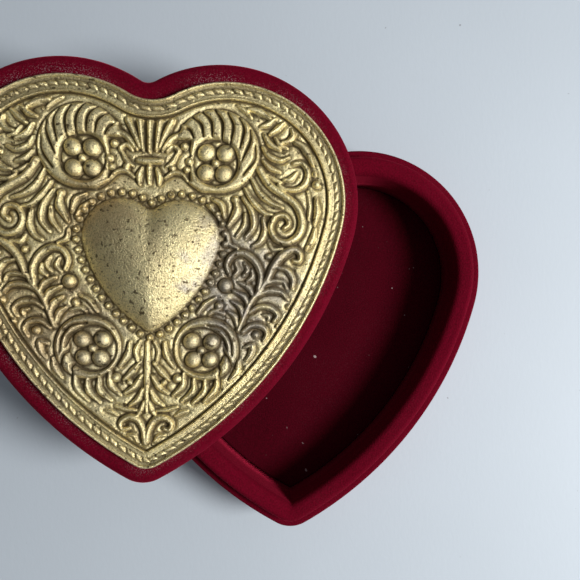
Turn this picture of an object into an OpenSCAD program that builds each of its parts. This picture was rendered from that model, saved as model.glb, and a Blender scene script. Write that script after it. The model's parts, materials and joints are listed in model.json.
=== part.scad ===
// Heart-shaped keepsake box: a rigid board box dressed in velvet, with a padded neck
// that locates the lid, and a stamped brass plate on the lid.
// The lid is drawn lifted off and laid across the open base, level on the neck.
// Origin: middle of the base's underside. +Y towards the two lobes, +Z up.

/* [Heart outline] */
// Width of the box across its lobes
heart_w = 100; // [92:1:112]
// Length of the box from the top of the lobes to the tip
heart_len = 99.3; // [94:0.1:108]
// Radius of the two lobes
lobe_r = 31.8; // [29:0.1:35]
// Radius of the long side curves
side_r = 94.7; // [85:0.1:130]
// Radius of the hollow between the lobes
notch_r = 3.4; // [2:0.1:8]
// Radius of the rounded tip
tip_r = 7.6; // [7.2:0.1:10]

/* [Velvet and board] */
// Thickness of the velvet wrap
velvet_t = 0.6; // [0.4:0.1:1]
// Thickness of the greyboard under the base and the lid's top
board_t = 2; // [1.5:0.1:3]
// Thickness of the felt under the base
felt_t = 0.5; // [0.4:0.1:1]
// Distance of the felt's edge from the outline
felt_inset = 2; // [1:0.5:6]
// Width of the velvet turned in under the base
turn_in_w = 10; // [6:1:15]

/* [Base] */
// Height of the ledge that the closed lid stands on
base_h = 17; // [14:0.5:30]
// Width of the ledge around the neck
ledge_w = 2.3; // [2.1:0.1:2.7]

/* [Neck] */
// Height of the neck above the ledge
neck_rise = 3.5; // [3:0.1:5]
// Width of the padded band on top of the neck
neck_band_w = 4.7; // [4:0.1:5.1]
// Thickness of the padding on top of the neck
neck_pad_t = 1.6; // [1.3:0.1:2]
// How far the padded band falls towards the cavity
neck_fall = 0.8; // [0.2:0.1:1]
// Radius of the padding's rounded edges under the velvet
neck_pad_edge_r = 0.6; // [0.4:0.1:0.6]

/* [Floor pad] */
// Thickness of the card in the floor pad
floor_card_t = 0.8; // [0.5:0.1:1.5]
// Thickness of the wadding in the floor pad
floor_wadding_t = 1; // [0.5:0.1:3]
// Gap around the floor pad
floor_gap = 0.2; // [0.1:0.1:0.5]

/* [Lid] */
// Height of the lid from its lower edge to the velvet top
lid_h = 10.2; // [9:0.1:16]
// Radius of the rounded upper edge of the lid
lid_edge_r = 1.6; // [1:0.1:2]
// Gap between the closed lid and the neck
lid_gap = 0.3; // [0.3:0.1:0.6]
// Thickness of the cloth that lines the lid's wall
side_lining_t = 0.3; // [0.2:0.1:0.4]
// Thickness of the card in the lid's ceiling pad
ceiling_card_t = 0.8; // [0.5:0.1:1.2]
// Thickness of the wadding in the lid's ceiling pad
ceiling_wadding_t = 1; // [0.5:0.1:1.5]
// Gap around the ceiling pad
ceiling_gap = 0.2; // [0.1:0.1:0.5]

/* [Lid laid open] */
// Shift of the lid to the left of the base
lid_shift_x = -34.6; // [-40:0.1:-28]
// Shift of the lid towards the lobes
lid_shift_y = 15.8; // [10:0.1:22]
// Turn of the lid about the vertical
lid_turn = -1; // [-5:0.5:5]
// Gap between the lid's edge and the neck that carries it
rest_gap = 0.3; // [0.3:0.1:1]

/* [Brass plate] */
// Distance of the plate's edge from the outline at the sides
plate_side_inset = 4.55; // [4:0.05:6]
// Distance of the plate's edge from the outline at the lobes and the tip
plate_end_inset = 4.45; // [4:0.05:6]
// How much smaller than the box's the radius of the plate's lobes is
plate_lobe_cut = 4.8; // [4:0.1:6]
// How much smaller than the box's the radius of the plate's side curves is
plate_side_cut = 6.7; // [4:0.1:10]
// How much larger than the box's the radius of the plate's hollow is
plate_notch_grow = 6.9; // [4:0.1:8]
// Radius of the plate's rounded tip
plate_tip_r = 5; // [4.8:0.1:6]
// Shift of the plate off the lid's middle, across the lid
plate_x = 1.2; // [0:0.1:1.5]
// Shift of the plate off the lid's middle, along the lid
plate_y = -0.4; // [-1:0.1:0.5]
// Thickness of the brass sheet
sheet_t = 0.5; // [0.3:0.1:0.8]
// Thickness of the backing card under the plate
backing_t = 0.6; // [0.4:0.1:1]
// Width of the sheet turned down around the backing card
plate_flange_w = 0.5; // [0.3:0.1:0.8]
// Width of the stepped rim at the plate's edge
rim_w = 1.5; // [1:0.1:1.5]
// Height of the rim's top step above the sheet
rim_rise = 0.75; // [0.5:0.05:0.9]
// Height of the rim's lower step above the sheet
rim_step = 0.45; // [0.3:0.05:0.45]
// Distance of the top step from the plate's edge
rim_set_back = 0.3; // [0.2:0.05:0.4]
// Width of the top step
rim_top_w = 0.8; // [0.4:0.1:0.8]
// Distance of the pearled band from the plate's edge
pearl_band_at = 2.2; // [2:0.1:2.6]
// Radius of a pearl in the band
pearl_r = 0.6; // [0.4:0.05:0.65]
// Spacing of the pearls along the band
pearl_pitch = 2.45; // [2:0.05:4]
// Distance of the inner ridge from the plate's edge
inner_ridge_at = 3.9; // [3.6:0.1:4.6]
// Half width and height of the inner ridge
inner_ridge_r = 0.45; // [0.3:0.05:0.5]

/* [Heart boss] */
// Width of the raised heart
boss_w = 31; // [28:0.5:34]
// Length of the raised heart
boss_len = 30; // [27:0.5:33]
// Radius of the raised heart's lobes
boss_lobe_r = 9; // [8:0.1:10]
// Radius of the raised heart's side curves
boss_side_r = 32; // [26:0.5:50]
// Radius of the hollow between the raised heart's lobes
boss_notch_r = 2; // [1:0.1:3]
// Radius of the raised heart's tip
boss_tip_r = 2; // [1:0.1:4]
// Height of the raised heart above the sheet
boss_h = 4.6; // [3:0.1:6]
// Position of the raised heart along the plate
boss_y = 2.8; // [1:0.1:4]
// Radius of a bead in the border of the raised heart
bead_r = 0.85; // [0.6:0.05:1]
// Spacing of the beads
bead_pitch = 2.6; // [2.4:0.1:4]
// Distance of the beads outside the raised heart
bead_at = 1.4; // [1.2:0.1:2]

/* [Scrollwork] */
// Radius of the raised strokes in the scrollwork
stroke_r = 0.75; // [0.5:0.05:0.9]
// Half width of a leaf
leaf_r = 0.8; // [0.5:0.05:0.9]
// Height of a leaf above the sheet
leaf_rise = 0.75; // [0.4:0.05:1]
// Radius of a flower petal
petal_r = 2; // [1.6:0.1:2.1]
// Height of a flower petal
petal_rise = 1.1; // [0.6:0.1:1.4]
// Width of a knot between two strokes, as a multiple of the stroke
knot_swell = 1.2; // [1:0.1:1.5]
// Gap between a knot and the strokes beside it
stroke_gap = 0.25; // [0.1:0.05:0.5]
// Shift of the stamped pattern along the plate
pattern_y = 0.2; // [-0.5:0.1:0.5]

/* [Hidden] */
$fn = 96;

// Colours of the finishes
VELVET = [0.43, 0.01, 0.1];
BRASS = [0.72, 0.65, 0.38];
GREYBOARD = [0.62, 0.6, 0.56];
WADDING = [0.92, 0.9, 0.86];
FELT = [0.2, 0.02, 0.05];
LINING = [0.5, 0.03, 0.12];

// A heart is [width, length, lobe radius, side radius, notch radius, tip radius]
BOX = [heart_w, heart_len, lobe_r, side_r, notch_r, tip_r];
BOSS = [boss_w, boss_len, boss_lobe_r, boss_side_r, boss_notch_r, boss_tip_r];
PLATE = [
    heart_w - 2 * plate_side_inset, heart_len - 2 * plate_end_inset, lobe_r - plate_lobe_cut,
    side_r - plate_side_cut, notch_r + plate_notch_grow, plate_tip_r
];

// Levels in the base, from the surface it stands on
infill_z = felt_t;
base_board_z = infill_z + velvet_t;
base_inside_z = base_board_z + board_t;
floor_wadding_z = base_inside_z + floor_card_t;
floor_velvet_z = floor_wadding_z + floor_wadding_t;
neck_top_z = base_h + neck_rise;
neck_edge_r = velvet_t + neck_pad_edge_r;
glue_t = 0.05;

// Insets of the base's layers from the outline
wall_out = velvet_t + glue_t;
wall_in = ledge_w - glue_t;
neck_in = ledge_w + neck_band_w;
floor_out = neck_in + floor_gap;

// Levels in the lid, from its lower edge
lid_top_z = lid_h - velvet_t;
lid_board_z = lid_top_z - board_t;
ceiling_wadding_z = lid_board_z - ceiling_card_t - ceiling_wadding_t;
ceiling_lining_z = ceiling_wadding_z - velvet_t;
lid_rest_z = neck_top_z + rest_gap;

// Insets of the lid's layers
lid_in = ledge_w - lid_gap;
lid_wall_in = lid_in - side_lining_t - glue_t;
ceiling_out = lid_in + ceiling_gap;

// Levels of the plate, from the lid's lower edge
sheet_z = lid_h + backing_t;
sheet_top = sheet_z + sheet_t;

// Points and rings that round out the raised heart
boss_steps = 30;
boss_rings = 8;
// Powers that shape its dome: how flat the crown is and how steep the shoulder
boss_flat = 2.4;
boss_steep = 0.62;
ring_spread = 1.6;

// Flowers of the right half, with the distance of a petal from the flower's middle
UPPER_FLOWER = [14.6, 25.8];
LOWER_FLOWER = [12.4, -17.6];
upper_spread = 2.2;
lower_spread = 2.1;
// Fans round the flowers: [ribs, inner radius, outer radius, first bearing, step, lag]
UPPER_FAN = [7, 6, 11.6, 15, 19, 8];
LOWER_FAN = [4, 4.6, 7.2, -40, 24, 22];
rib_bow = -1.1;
// Scrollwork of the right half: each stroke is [from x, y, to x, y, bow to its left]
SCROLL = [
    [24.8, 24.6, 29.6, 19, -0.8], [29.6, 19, 34.9, 15.4, 0.9], [34.9, 15.4, 32.6, 8.6, 2.2],
    [32.6, 8.6, 28.7, 11.4, 1.2],
    [26.6, 1.2, 31.8, 6.1, 0.8],
    [22, 5.6, 19, 1, -1.6], [22, 5.6, 26, -1.6, 1.6], [26, -1.6, 21.6, -11.4, 0.5],
    [12.6, -10, 5.6, -17, -2.2], [5.6, -17, 12.2, -24.2, -2.4],
    [12.6, -10, 20.7, -15.6, 2.2], [20.7, -15.6, 17, -26, 1.8],
    [1.6, -37.8, 3.4, -33.6, 0.5]
];
KNOTS = [
    [24.8, 24.6], [29.6, 19], [34.9, 15.4], [32.6, 8.6], [28.7, 11.4], [26.6, 1.2], [31.8, 6.1],
    [22, 5.6], [19, 1], [26, -1.6], [21.6, -11.4], [12.6, -10], [5.6, -17], [12.2, -24.2],
    [20.7, -15.6], [17, -26], [1.6, -37.8], [3.4, -33.6]
];
LEAVES = [
    [1.5, 29.6, 2.3, 35.2, 0.1], [3.2, 31, 5, 35, 0.1], [4.4, 29.8, 6.9, 32.2, 0.2],
    [1.9, 24, 2.2, 21.4, 0.1], [3.8, 22.3, 8.4, 22.1, 1.2],
    [22.4, 38.5, 27, 36.8, 0.5], [25.2, 34.8, 28.4, 36.6, -0.3], [27.4, 33.2, 30.7, 36, -0.3],
    [30.2, 31.4, 32.2, 34.4, -0.9], [33.4, 31.4, 37.4, 26.6, 0.8], [33.2, 26.6, 36, 23.6, 1],
    [35.4, 21.4, 30.8, 21.2, 0.5], [26, 33, 29.6, 29.6, -0.6], [25.8, 29.8, 30.6, 27.6, -0.9],
    [38.2, 19, 38, 13.2, 0.4], [37.8, 11.6, 36.2, 7.6, 0.4],
    [23, 22.2, 29.8, 17, -0.8], [21.4, 20, 27.6, 15, -0.6],
    [14.4, 17.8, 17.2, 14, 0.8], [19.8, 17.4, 18.2, 12, 1], [22.6, 16.4, 22.4, 9.6, 1.2],
    [26.2, 13, 24.2, 7.8, 0.8], [18, 9.6, 20, 7.2, -0.4],
    [33.6, 6.4, 34.8, 4.4, 0.4], [29.8, 2.4, 33, -1.8, 1],
    [20.6, -1.4, 23, -3.6, 0.5], [19.8, -3.6, 22, -6.2, 0.5], [19.2, -6.2, 21, -9, 0.5],
    [26.2, -4.4, 31.4, -5, 1.3], [24.8, -8.6, 29.2, -9, 1.4], [22.8, -13, 26.8, -13.6, 1.5],
    [22.6, -16.6, 22.8, -19.2, 0.8],
    [2.6, -15.6, 3, -19.4, -0.2], [1.9, -20.6, 4.4, -23.4, 0.2], [1.6, -23.9, 4.4, -27, -0.2],
    [1.5, -27.1, 3.6, -29.8, -0.2], [8, -25.6, 6, -28.2, 0.4], [10.8, -26.2, 8.2, -29.4, 0.5],
    [13.4, -26.2, 10.8, -29.6, 0.5], [4.6, -33.2, 5.6, -35.4, 0.6]
];
// Leaves that cross the pattern's axis
MIDDLE_LEAVES = [[-3, 26, 3, 26, 0.05], [0, -16.8, 0, -31, 0.05]];
// Buds of the right half: [x, y, radius]
BUDS = [
    [7.9, 29.7, 0.9], [9, 26.3, 0.9], [5.4, 25.2, 0.7], [38.3, 22.2, 0.9], [17.7, -2, 1.5],
    [16.3, -6.6, 0.8]
];
// How much a leaf narrows and lowers towards its ends, at even steps along it
TAPER = [0.25, 0.8, 1, 0.8, 0.25];

function unit(v) = v / norm(v);
function mirrored(p) = [-p.x, p.y];
function bearing(v) = atan2(v.y, v.x);

// Centres of a heart's right-hand arcs, with the heart's middle at the origin
function lobe_c(h) = [h[0] / 2 - h[2], h[1] / 2 - h[2]];
function tip_c(h) = [0, h[5] - h[1] / 2];
function notch_c(h) = [0, lobe_c(h).y + sqrt(pow(h[2] + h[4], 2) - pow(lobe_c(h).x, 2))];
// The side arc touches the lobe and the tip from outside, so its centre lies on two circles
function side_c(h) =
    let (to_tip = tip_c(h) - lobe_c(h), gap = norm(to_tip), ra = h[3] - h[2], rb = h[3] - h[5])
    let (along = (ra * ra - rb * rb + gap * gap) / (2 * gap))
    lobe_c(h) + along * to_tip / gap
        + sqrt(ra * ra - along * along) * [to_tip.y, -to_tip.x] / gap;

// Bearings at which one arc hands over to the next
function notch_turn(h) = bearing(lobe_c(h) - notch_c(h));
function side_turn(h) = bearing(lobe_c(h) - side_c(h));
function tip_turn(h) = bearing(tip_c(h) - side_c(h));

// The right half of a heart as arcs [centre, radius, first bearing, last bearing], notch to tip
function half_arcs(h, inset) = [
    [notch_c(h), h[4] + inset, -90, notch_turn(h)],
    [lobe_c(h), h[2] - inset, notch_turn(h) + 180, side_turn(h)],
    [side_c(h), h[3] - inset, side_turn(h), tip_turn(h)],
    [tip_c(h), h[5] - inset, tip_turn(h), -90]
];
function arc_len(a) = a[1] * abs(a[3] - a[2]) * PI / 180;
function arc_point(a, t) = a[0] + a[1] * [cos(a[2] + t * (a[3] - a[2])), sin(a[2] + t * (a[3] - a[2]))];
function arcs_len(arcs, n) = n == 0 ? 0 : arc_len(arcs[n - 1]) + arcs_len(arcs, n - 1);
function point_along(arcs, s, i = 0) =
    i == len(arcs) - 1 || s <= arc_len(arcs[i])
    ? arc_point(arcs[i], min(1, s / arc_len(arcs[i])))
    : point_along(arcs, s - arc_len(arcs[i]), i + 1);

// How far the hollow's circle cuts into the lobes' circles, so that they cross cleanly
arc_lap = 0.002;

// Heart-shaped area inside a heart's outline by an inset, with every arc kept round
module heart_area(h, inset = 0) {
    c = lobe_c(h);
    s = side_c(h);
    t = tip_c(h);
    n = notch_c(h);
    reach = 3 * h[1];
    over = c + reach * unit(c - s);
    under = t + reach * unit(t - s);
    tip = inset < h[5] ? [under, t, mirrored(under)] : [[0, t.y - reach]];
    for (p = [c, mirrored(c)]) translate(p) circle(h[2] - inset);
    intersection() {
        translate(s) circle(h[3] - inset);
        translate(mirrored(s)) circle(h[3] - inset);
        polygon(concat([c, over], tip, [mirrored(over), mirrored(c)]));
    }
    if (inset < h[5]) translate(t) circle(h[5] - inset);
    difference() {
        polygon([c, n, mirrored(c)]);
        translate(n) circle(h[4] + inset + arc_lap);
    }
}

// Solid slab of a heart
module heart_slab(h, inset, z, t) {
    translate([0, 0, z]) linear_extrude(t) heart_area(h, inset);
}

// Upright ring between two insets
module heart_ring(h, from, to, z, t) {
    translate([0, 0, z]) linear_extrude(t) difference() {
        heart_area(h, from);
        heart_area(h, to);
    }
}

module half_space(side) {
    reach = 3 * heart_w;
    translate([side > 0 ? 0 : -reach, -reach / 2, -reach / 2]) cube(reach);
}

// Steps round the notch, lobe, side and tip arcs of half a soft piece
soft_steps = [6, 26, 12, 5];

// Stations round a whole heart, each [arc centre, arc radius, outward direction, side of the arc]
function half_stations(h) = [
    for (k = [0 : 3])
        let (a = half_arcs(h, 0)[k])
        for (i = [0 : soft_steps[k] - (k == 3 ? 0 : 1)])
            let (t = a[2] + i * (a[3] - a[2]) / soft_steps[k])
            [a[0], a[1], [cos(t), sin(t)], k == 0 ? 1 : -1]
];
function stations(h) =
    let (right = half_stations(h))
    concat(right, [
        for (i = [len(right) - 2 : -1 : 1])
            [mirrored(right[i][0]), right[i][1], mirrored(right[i][2]), right[i][3]]
    ]);
function station_point(s, p) =
    let (xy = s[0] + (s[1] + s[3] * p.x) * s[2])
    [xy.x, xy.y, p.y];

// Points of a rounded corner in a section, from one bearing to another
function corner(c, r, from, to, steps) = [
    for (i = [0 : steps])
        let (t = from + i * (to - from) / steps)
        c + r * [cos(t), sin(t)]
];

// Soft piece: a section carried round a whole heart. In the section X runs inwards, Y up, and
// the points go clockwise. A capped piece is closed across the heart at its first and last points
module soft_sweep(h, section, capped = false) {
    st = stations(h);
    n = len(st);
    m = len(section);
    points = [for (s = st, p = section) station_point(s, p)];
    walls = [
        for (i = [0 : n - 1], j = [0 : m - (capped ? 2 : 1)])
            let (a = i * m + j, b = i * m + (j + 1) % m)
            let (c = (i + 1) % n * m + j, d = (i + 1) % n * m + (j + 1) % m)
            for (face = [[b, a, d], [d, a, c]]) face
    ];
    first = [for (i = [n - 1 : -1 : 0]) i * m];
    last = [for (i = [0 : n - 1]) i * m + m - 1];
    polyhedron(points, capped ? concat(walls, [first, last]) : walls, convexity = 6);
}

// Upper outline of the padded neck, drawn in by the thickness of a skin, from outside to inside
function neck_outline(skin) =
    let (r = neck_edge_r - skin)
    let (o = [ledge_w + neck_edge_r, neck_top_z - neck_edge_r])
    let (i = [neck_in - neck_edge_r, neck_top_z - neck_fall - neck_edge_r])
    let (crown = bearing([o.y - i.y, i.x - o.x]))
    concat(corner(o, r, 180, crown, 3), corner(i, r, crown, 0, 3));

// Places the lid's pieces where the lid lies
module laid_open() {
    translate([lid_shift_x, lid_shift_y, lid_rest_z]) rotate(lid_turn) children();
}

// Base

module base_board() {
    color(GREYBOARD) heart_slab(BOX, wall_out, base_board_z, board_t);
}

module base_wall(side) {
    color(GREYBOARD) intersection() {
        heart_ring(BOX, wall_out, wall_in, base_inside_z, base_h - velvet_t - base_inside_z);
        half_space(side);
    }
}

module base_wall_left() {
    base_wall(-1);
}

module base_wall_right() {
    base_wall(1);
}

module base_velvet() {
    ledge_z = base_h - velvet_t;
    color(VELVET) {
        heart_ring(BOX, 0, velvet_t, infill_z, ledge_z - infill_z);
        heart_ring(BOX, velvet_t, turn_in_w, infill_z, velvet_t);
        heart_ring(BOX, 0, wall_in, ledge_z, velvet_t);
    }
}

module turn_in_infill() {
    color(GREYBOARD) heart_slab(BOX, turn_in_w + glue_t, infill_z, velvet_t);
}

module base_felt() {
    color(FELT) heart_slab(BOX, felt_inset, 0, felt_t);
}

// Neck

module neck_board(side) {
    skin = velvet_t + glue_t;
    color(GREYBOARD) intersection() {
        heart_ring(BOX, ledge_w + skin, neck_in - skin, base_inside_z,
            neck_top_z - neck_fall - neck_pad_t - base_inside_z);
        half_space(side);
    }
}

module neck_board_left() {
    neck_board(-1);
}

module neck_board_right() {
    neck_board(1);
}

module neck_padding() {
    skin = velvet_t + glue_t;
    pad_z = neck_top_z - neck_fall - neck_pad_t;
    color(WADDING) soft_sweep(BOX, concat(
        [[ledge_w + skin, pad_z]],
        neck_outline(skin),
        [[neck_in - skin, pad_z]]
    ));
}

module neck_velvet() {
    under = neck_outline(velvet_t);
    foot = base_inside_z;
    color(VELVET) soft_sweep(BOX, concat(
        [[ledge_w, foot]],
        neck_outline(0),
        [[neck_in, foot], [neck_in - velvet_t, foot]],
        [for (k = [len(under) - 1 : -1 : 0]) under[k]],
        [[ledge_w + velvet_t, foot]]
    ));
}

// Floor pad

module floor_card() {
    color(GREYBOARD) heart_slab(BOX, floor_out, base_inside_z, floor_card_t);
}

module floor_wadding() {
    color(WADDING) heart_slab(BOX, floor_out, floor_wadding_z, floor_wadding_t);
}

module floor_velvet() {
    color(VELVET) heart_slab(BOX, floor_out, floor_velvet_z, velvet_t);
}

// Lid

module lid_board() {
    eased = lid_edge_r - wall_out;
    color(GREYBOARD) laid_open() soft_sweep(BOX, concat(
        [[wall_out, lid_board_z]],
        corner([lid_edge_r, lid_top_z - glue_t - eased], eased, 180, 90, 3)
    ), capped = true);
}

module lid_wall(side) {
    color(GREYBOARD) laid_open() intersection() {
        heart_ring(BOX, wall_out, lid_wall_in, velvet_t, lid_board_z - velvet_t);
        half_space(side);
    }
}

module lid_wall_left() {
    lid_wall(-1);
}

module lid_wall_right() {
    lid_wall(1);
}

module lid_velvet() {
    turn = [lid_edge_r, lid_h - lid_edge_r];
    hem = lid_edge_r + velvet_t;
    color(VELVET) laid_open() soft_sweep(BOX, concat(
        corner(turn, lid_edge_r - velvet_t, 90, 180, 3),
        [[velvet_t, velvet_t], [hem, velvet_t], [hem, 0], [0, 0]],
        corner(turn, lid_edge_r, 180, 90, 5)
    ), capped = true);
}

module lid_side_lining() {
    color(LINING) laid_open()
        heart_ring(BOX, lid_in - side_lining_t, lid_in, velvet_t, lid_board_z - velvet_t);
}

module ceiling_card() {
    color(GREYBOARD) laid_open()
        heart_slab(BOX, ceiling_out, lid_board_z - ceiling_card_t, ceiling_card_t);
}

module ceiling_wadding() {
    color(WADDING) laid_open() heart_slab(BOX, ceiling_out, ceiling_wadding_z, ceiling_wadding_t);
}

module ceiling_lining() {
    color(LINING) laid_open() heart_slab(BOX, ceiling_out, ceiling_lining_z, velvet_t);
}

// Brass plate

// Places the plate on the lid
module on_lid() {
    laid_open() translate([plate_x, plate_y, 0]) children();
}

module plate_backing() {
    color(GREYBOARD) on_lid() heart_slab(PLATE, plate_flange_w + glue_t, lid_h, backing_t);
}

// Low round dome standing on the sheet
module dome(p, r, rise) {
    ball_r = (r * r + rise * rise) / (2 * rise);
    sink = sheet_t / 2;
    translate([p.x, p.y, sheet_top]) rotate_extrude() intersection() {
        translate([0, rise - ball_r]) circle(ball_r);
        translate([0, -sink]) square([2 * r, rise + sink]);
    }
}

// Round-topped ridge section, half sunk in the sheet
module ridge_section(r) {
    translate([0, sheet_top]) intersection() {
        circle(r);
        translate([-r, -sheet_t / 2]) square([2 * r, r + sheet_t]);
    }
}

// Raised stroke along the arc from p to q that bows out to its left by sag, cut short by a trim
module stroke(p, q, sag, r, trim = 0) {
    chord = norm(q - p);
    bow_r = (chord * chord / 4 + sag * sag) / (2 * abs(sag));
    side = sign(sag) * [p.y - q.y, q.x - p.x] / chord;
    centre = (p + q) / 2 + side * (abs(sag) - bow_r);
    half_sweep = asin(chord / 2 / bow_r) - trim / bow_r * 180 / PI;
    translate(centre) rotate(bearing(side) - half_sweep)
        rotate_extrude(angle = 2 * half_sweep) translate([bow_r, 0]) ridge_section(r);
}

// Knot between the ends of two strokes
module knot(p, r) {
    dome(p, knot_swell * r, r);
}

// Four petals round a bead
module flower(c, spread) {
    dome(c, bead_r, bead_r);
    for (x = [-1, 1], y = [-1, 1]) dome(c + spread * [x, y], petal_r, petal_rise);
}

// Leaf with a sharp crest and narrow ends, along the arc from p to q that bows to its left by sag
module leaf(p, q, sag) {
    chord = norm(q - p);
    bow_r = (chord * chord / 4 + sag * sag) / (2 * abs(sag));
    side = sign(sag) * [p.y - q.y, q.x - p.x] / chord;
    centre = (p + q) / 2 + side * (abs(sag) - bow_r);
    half_sweep = asin(chord / 2 / bow_r);
    n = len(TAPER);
    foot = sheet_top - sheet_t / 2;
    points = [
        for (k = [0 : n - 1])
            let (t = bearing(side) + half_sweep * (2 * k / (n - 1) - 1), w = TAPER[k] * leaf_r)
            for (e = [[-w, foot], [0, sheet_top + TAPER[k] * leaf_rise], [w, foot]])
                let (xy = centre + (bow_r + e.x) * [cos(t), sin(t)])
                [xy.x, xy.y, e.y]
    ];
    last = 3 * (n - 1);
    polyhedron(points, concat(
        [[0, 1, 2], [last + 2, last + 1, last]],
        [
            for (k = [0 : 3 : last - 3], j = [0 : 2])
                let (a = k + j, b = k + (j + 1) % 3)
                for (face = [[a, a + 3, b], [b, a + 3, b + 3]]) face
        ]
    ));
}

// Ribs that fan round a flower from an inner to an outer circle, each lagging and bowed
module fan(c, f) {
    for (k = [0 : f[0] - 1]) {
        a = f[3] + k * f[4];
        tip = a + f[5];
        leaf(c + f[1] * [cos(a), sin(a)], c + f[2] * [cos(tip), sin(tip)], rib_bow);
    }
}

// Height of the raised heart at a fraction of the way from its middle to its outline
function boss_rise(s) = pow(max(0, 1 - pow(s, boss_flat)), boss_steep);

// Raised heart as a thin shell: rings of points shrink from the outline to the middle
module boss() {
    arcs = half_arcs(BOSS, 0);
    half_len = arcs_len(arcs, 4);
    right = [for (k = [0 : boss_steps]) point_along(arcs, k * half_len / boss_steps)];
    left = [for (k = [boss_steps - 1 : -1 : 1]) mirrored(right[k])];
    outline = concat(right, left);
    around = len(outline);
    skin = sheet_t / (boss_w / 2);
    foot = sheet_z + sheet_t / 4;
    outer = [for (k = [0 : boss_rings - 1]) 1 - pow(k / boss_rings, ring_spread)];
    inner = [for (s = outer) s * (1 - 2 * skin)];
    points = concat(
        [for (p = outline) [p.x, p.y, foot]],
        [for (s = outer, p = outline) [s * p.x, s * p.y, sheet_top + boss_h * boss_rise(s)]],
        [[0, 0, sheet_top + boss_h]],
        [for (p = outline) [inner[0] * p.x, inner[0] * p.y, foot]],
        [for (k = [1 : boss_rings - 1], p = outline)
            [inner[k] * p.x, inner[k] * p.y, sheet_z + boss_h * boss_rise(outer[k])]],
        [[0, 0, sheet_z + boss_h]]
    );
    apex = around * (boss_rings + 1);
    under = apex + 1;
    under_apex = under + around * boss_rings;
    function ring_faces(start, rings, flip) = [
        for (k = [0 : rings - 2], i = [0 : around - 1])
            let (a = start + k * around + i, b = start + k * around + (i + 1) % around)
            for (face = [[a, b, b + around], [a, b + around, a + around]])
                flip ? [face[2], face[1], face[0]] : face
    ];
    function cap_faces(start, tip, flip) = [
        for (i = [0 : around - 1])
            let (a = start + i, b = start + (i + 1) % around)
            flip ? [b, a, tip] : [a, b, tip]
    ];
    faces = concat(
        ring_faces(0, boss_rings + 1, false),
        cap_faces(around * boss_rings, apex, false),
        ring_faces(under, boss_rings, true),
        cap_faces(under + around * (boss_rings - 1), under_apex, true),
        [for (i = [0 : around - 1]) let (j = (i + 1) % around)
            for (face = [[j, i, under + i], [j, under + i, under + j]]) face]
    );
    translate([0, boss_y, 0]) polyhedron(points, faces, convexity = 4);
}

// Row of domes spaced evenly along both halves of a heart
module dome_row(arcs, pitch, r) {
    half_len = arcs_len(arcs, 4);
    count = floor(half_len / pitch);
    for (k = [0 : count - 1], m = [0, 1])
        mirror([m, 0, 0]) dome(point_along(arcs, (k + 0.5) * half_len / count), r, r);
}

module plate_sheet() {
    difference() {
        heart_slab(PLATE, 0, lid_h, sheet_top - lid_h);
        heart_slab(PLATE, plate_flange_w, lid_h - 1, sheet_z - lid_h + 1);
        translate([0, pattern_y + boss_y, 0])
            heart_slab(BOSS, sheet_t, lid_h, 2 * (sheet_top - lid_h));
    }
}

module plate_border() {
    sink = sheet_t / 2;
    ridge = inner_ridge_at;
    heart_ring(PLATE, 0, rim_w, sheet_top - sink, sink + rim_step);
    heart_ring(PLATE, rim_set_back, rim_set_back + rim_top_w, sheet_top, rim_rise);
    heart_ring(PLATE, ridge - inner_ridge_r, ridge + inner_ridge_r, sheet_top - sink,
        sink + inner_ridge_r);
    dome_row(half_arcs(PLATE, pearl_band_at), pearl_pitch, pearl_r);
}

// Scrollwork of the right half, which the left half mirrors
module half_scrollwork() {
    trim = knot_swell * stroke_r + stroke_gap;
    for (s = SCROLL) stroke([s[0], s[1]], [s[2], s[3]], s[4], stroke_r, trim);
    for (p = KNOTS) knot(p, stroke_r);
    for (s = LEAVES) leaf([s[0], s[1]], [s[2], s[3]], s[4]);
    for (b = BUDS) dome([b.x, b.y], b.z, b.z / 2);
    flower(UPPER_FLOWER, upper_spread);
    flower(LOWER_FLOWER, lower_spread);
    fan(UPPER_FLOWER, UPPER_FAN);
    fan(LOWER_FLOWER, LOWER_FAN);
}

module brass_plate() {
    color(BRASS) on_lid() {
        plate_sheet();
        plate_border();
        translate([0, pattern_y, 0]) {
            boss();
            translate([0, boss_y, 0]) dome_row(half_arcs(BOSS, -bead_at), bead_pitch, bead_r);
            for (s = MIDDLE_LEAVES) leaf([s[0], s[1]], [s[2], s[3]], s[4]);
            for (m = [0, 1]) mirror([m, 0, 0]) half_scrollwork();
        }
    }
}

base_board();
base_wall_left();
base_wall_right();
neck_board_left();
neck_board_right();
neck_padding();
neck_velvet();
base_velvet();
turn_in_infill();
base_felt();
floor_card();
floor_wadding();
floor_velvet();
lid_board();
lid_wall_left();
lid_wall_right();
lid_velvet();
lid_side_lining();
ceiling_card();
ceiling_wadding();
ceiling_lining();
plate_backing();
brass_plate();
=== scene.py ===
"""Looks for a heart-shaped velvet keepsake box with an embossed brass plate on its lid.

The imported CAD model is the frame. Every soft piece and the brass plate get a modelled
piece of their own, in the same place and inside the same box, and the boards that stay
get a better material. Lengths in the classes are millimetres; meshes are metres.
"""

from __future__ import annotations

import json
import logging
import math
from dataclasses import dataclass, field, replace
from enum import Enum

import bpy
import numpy as np
from mathutils import Matrix, Vector

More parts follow.
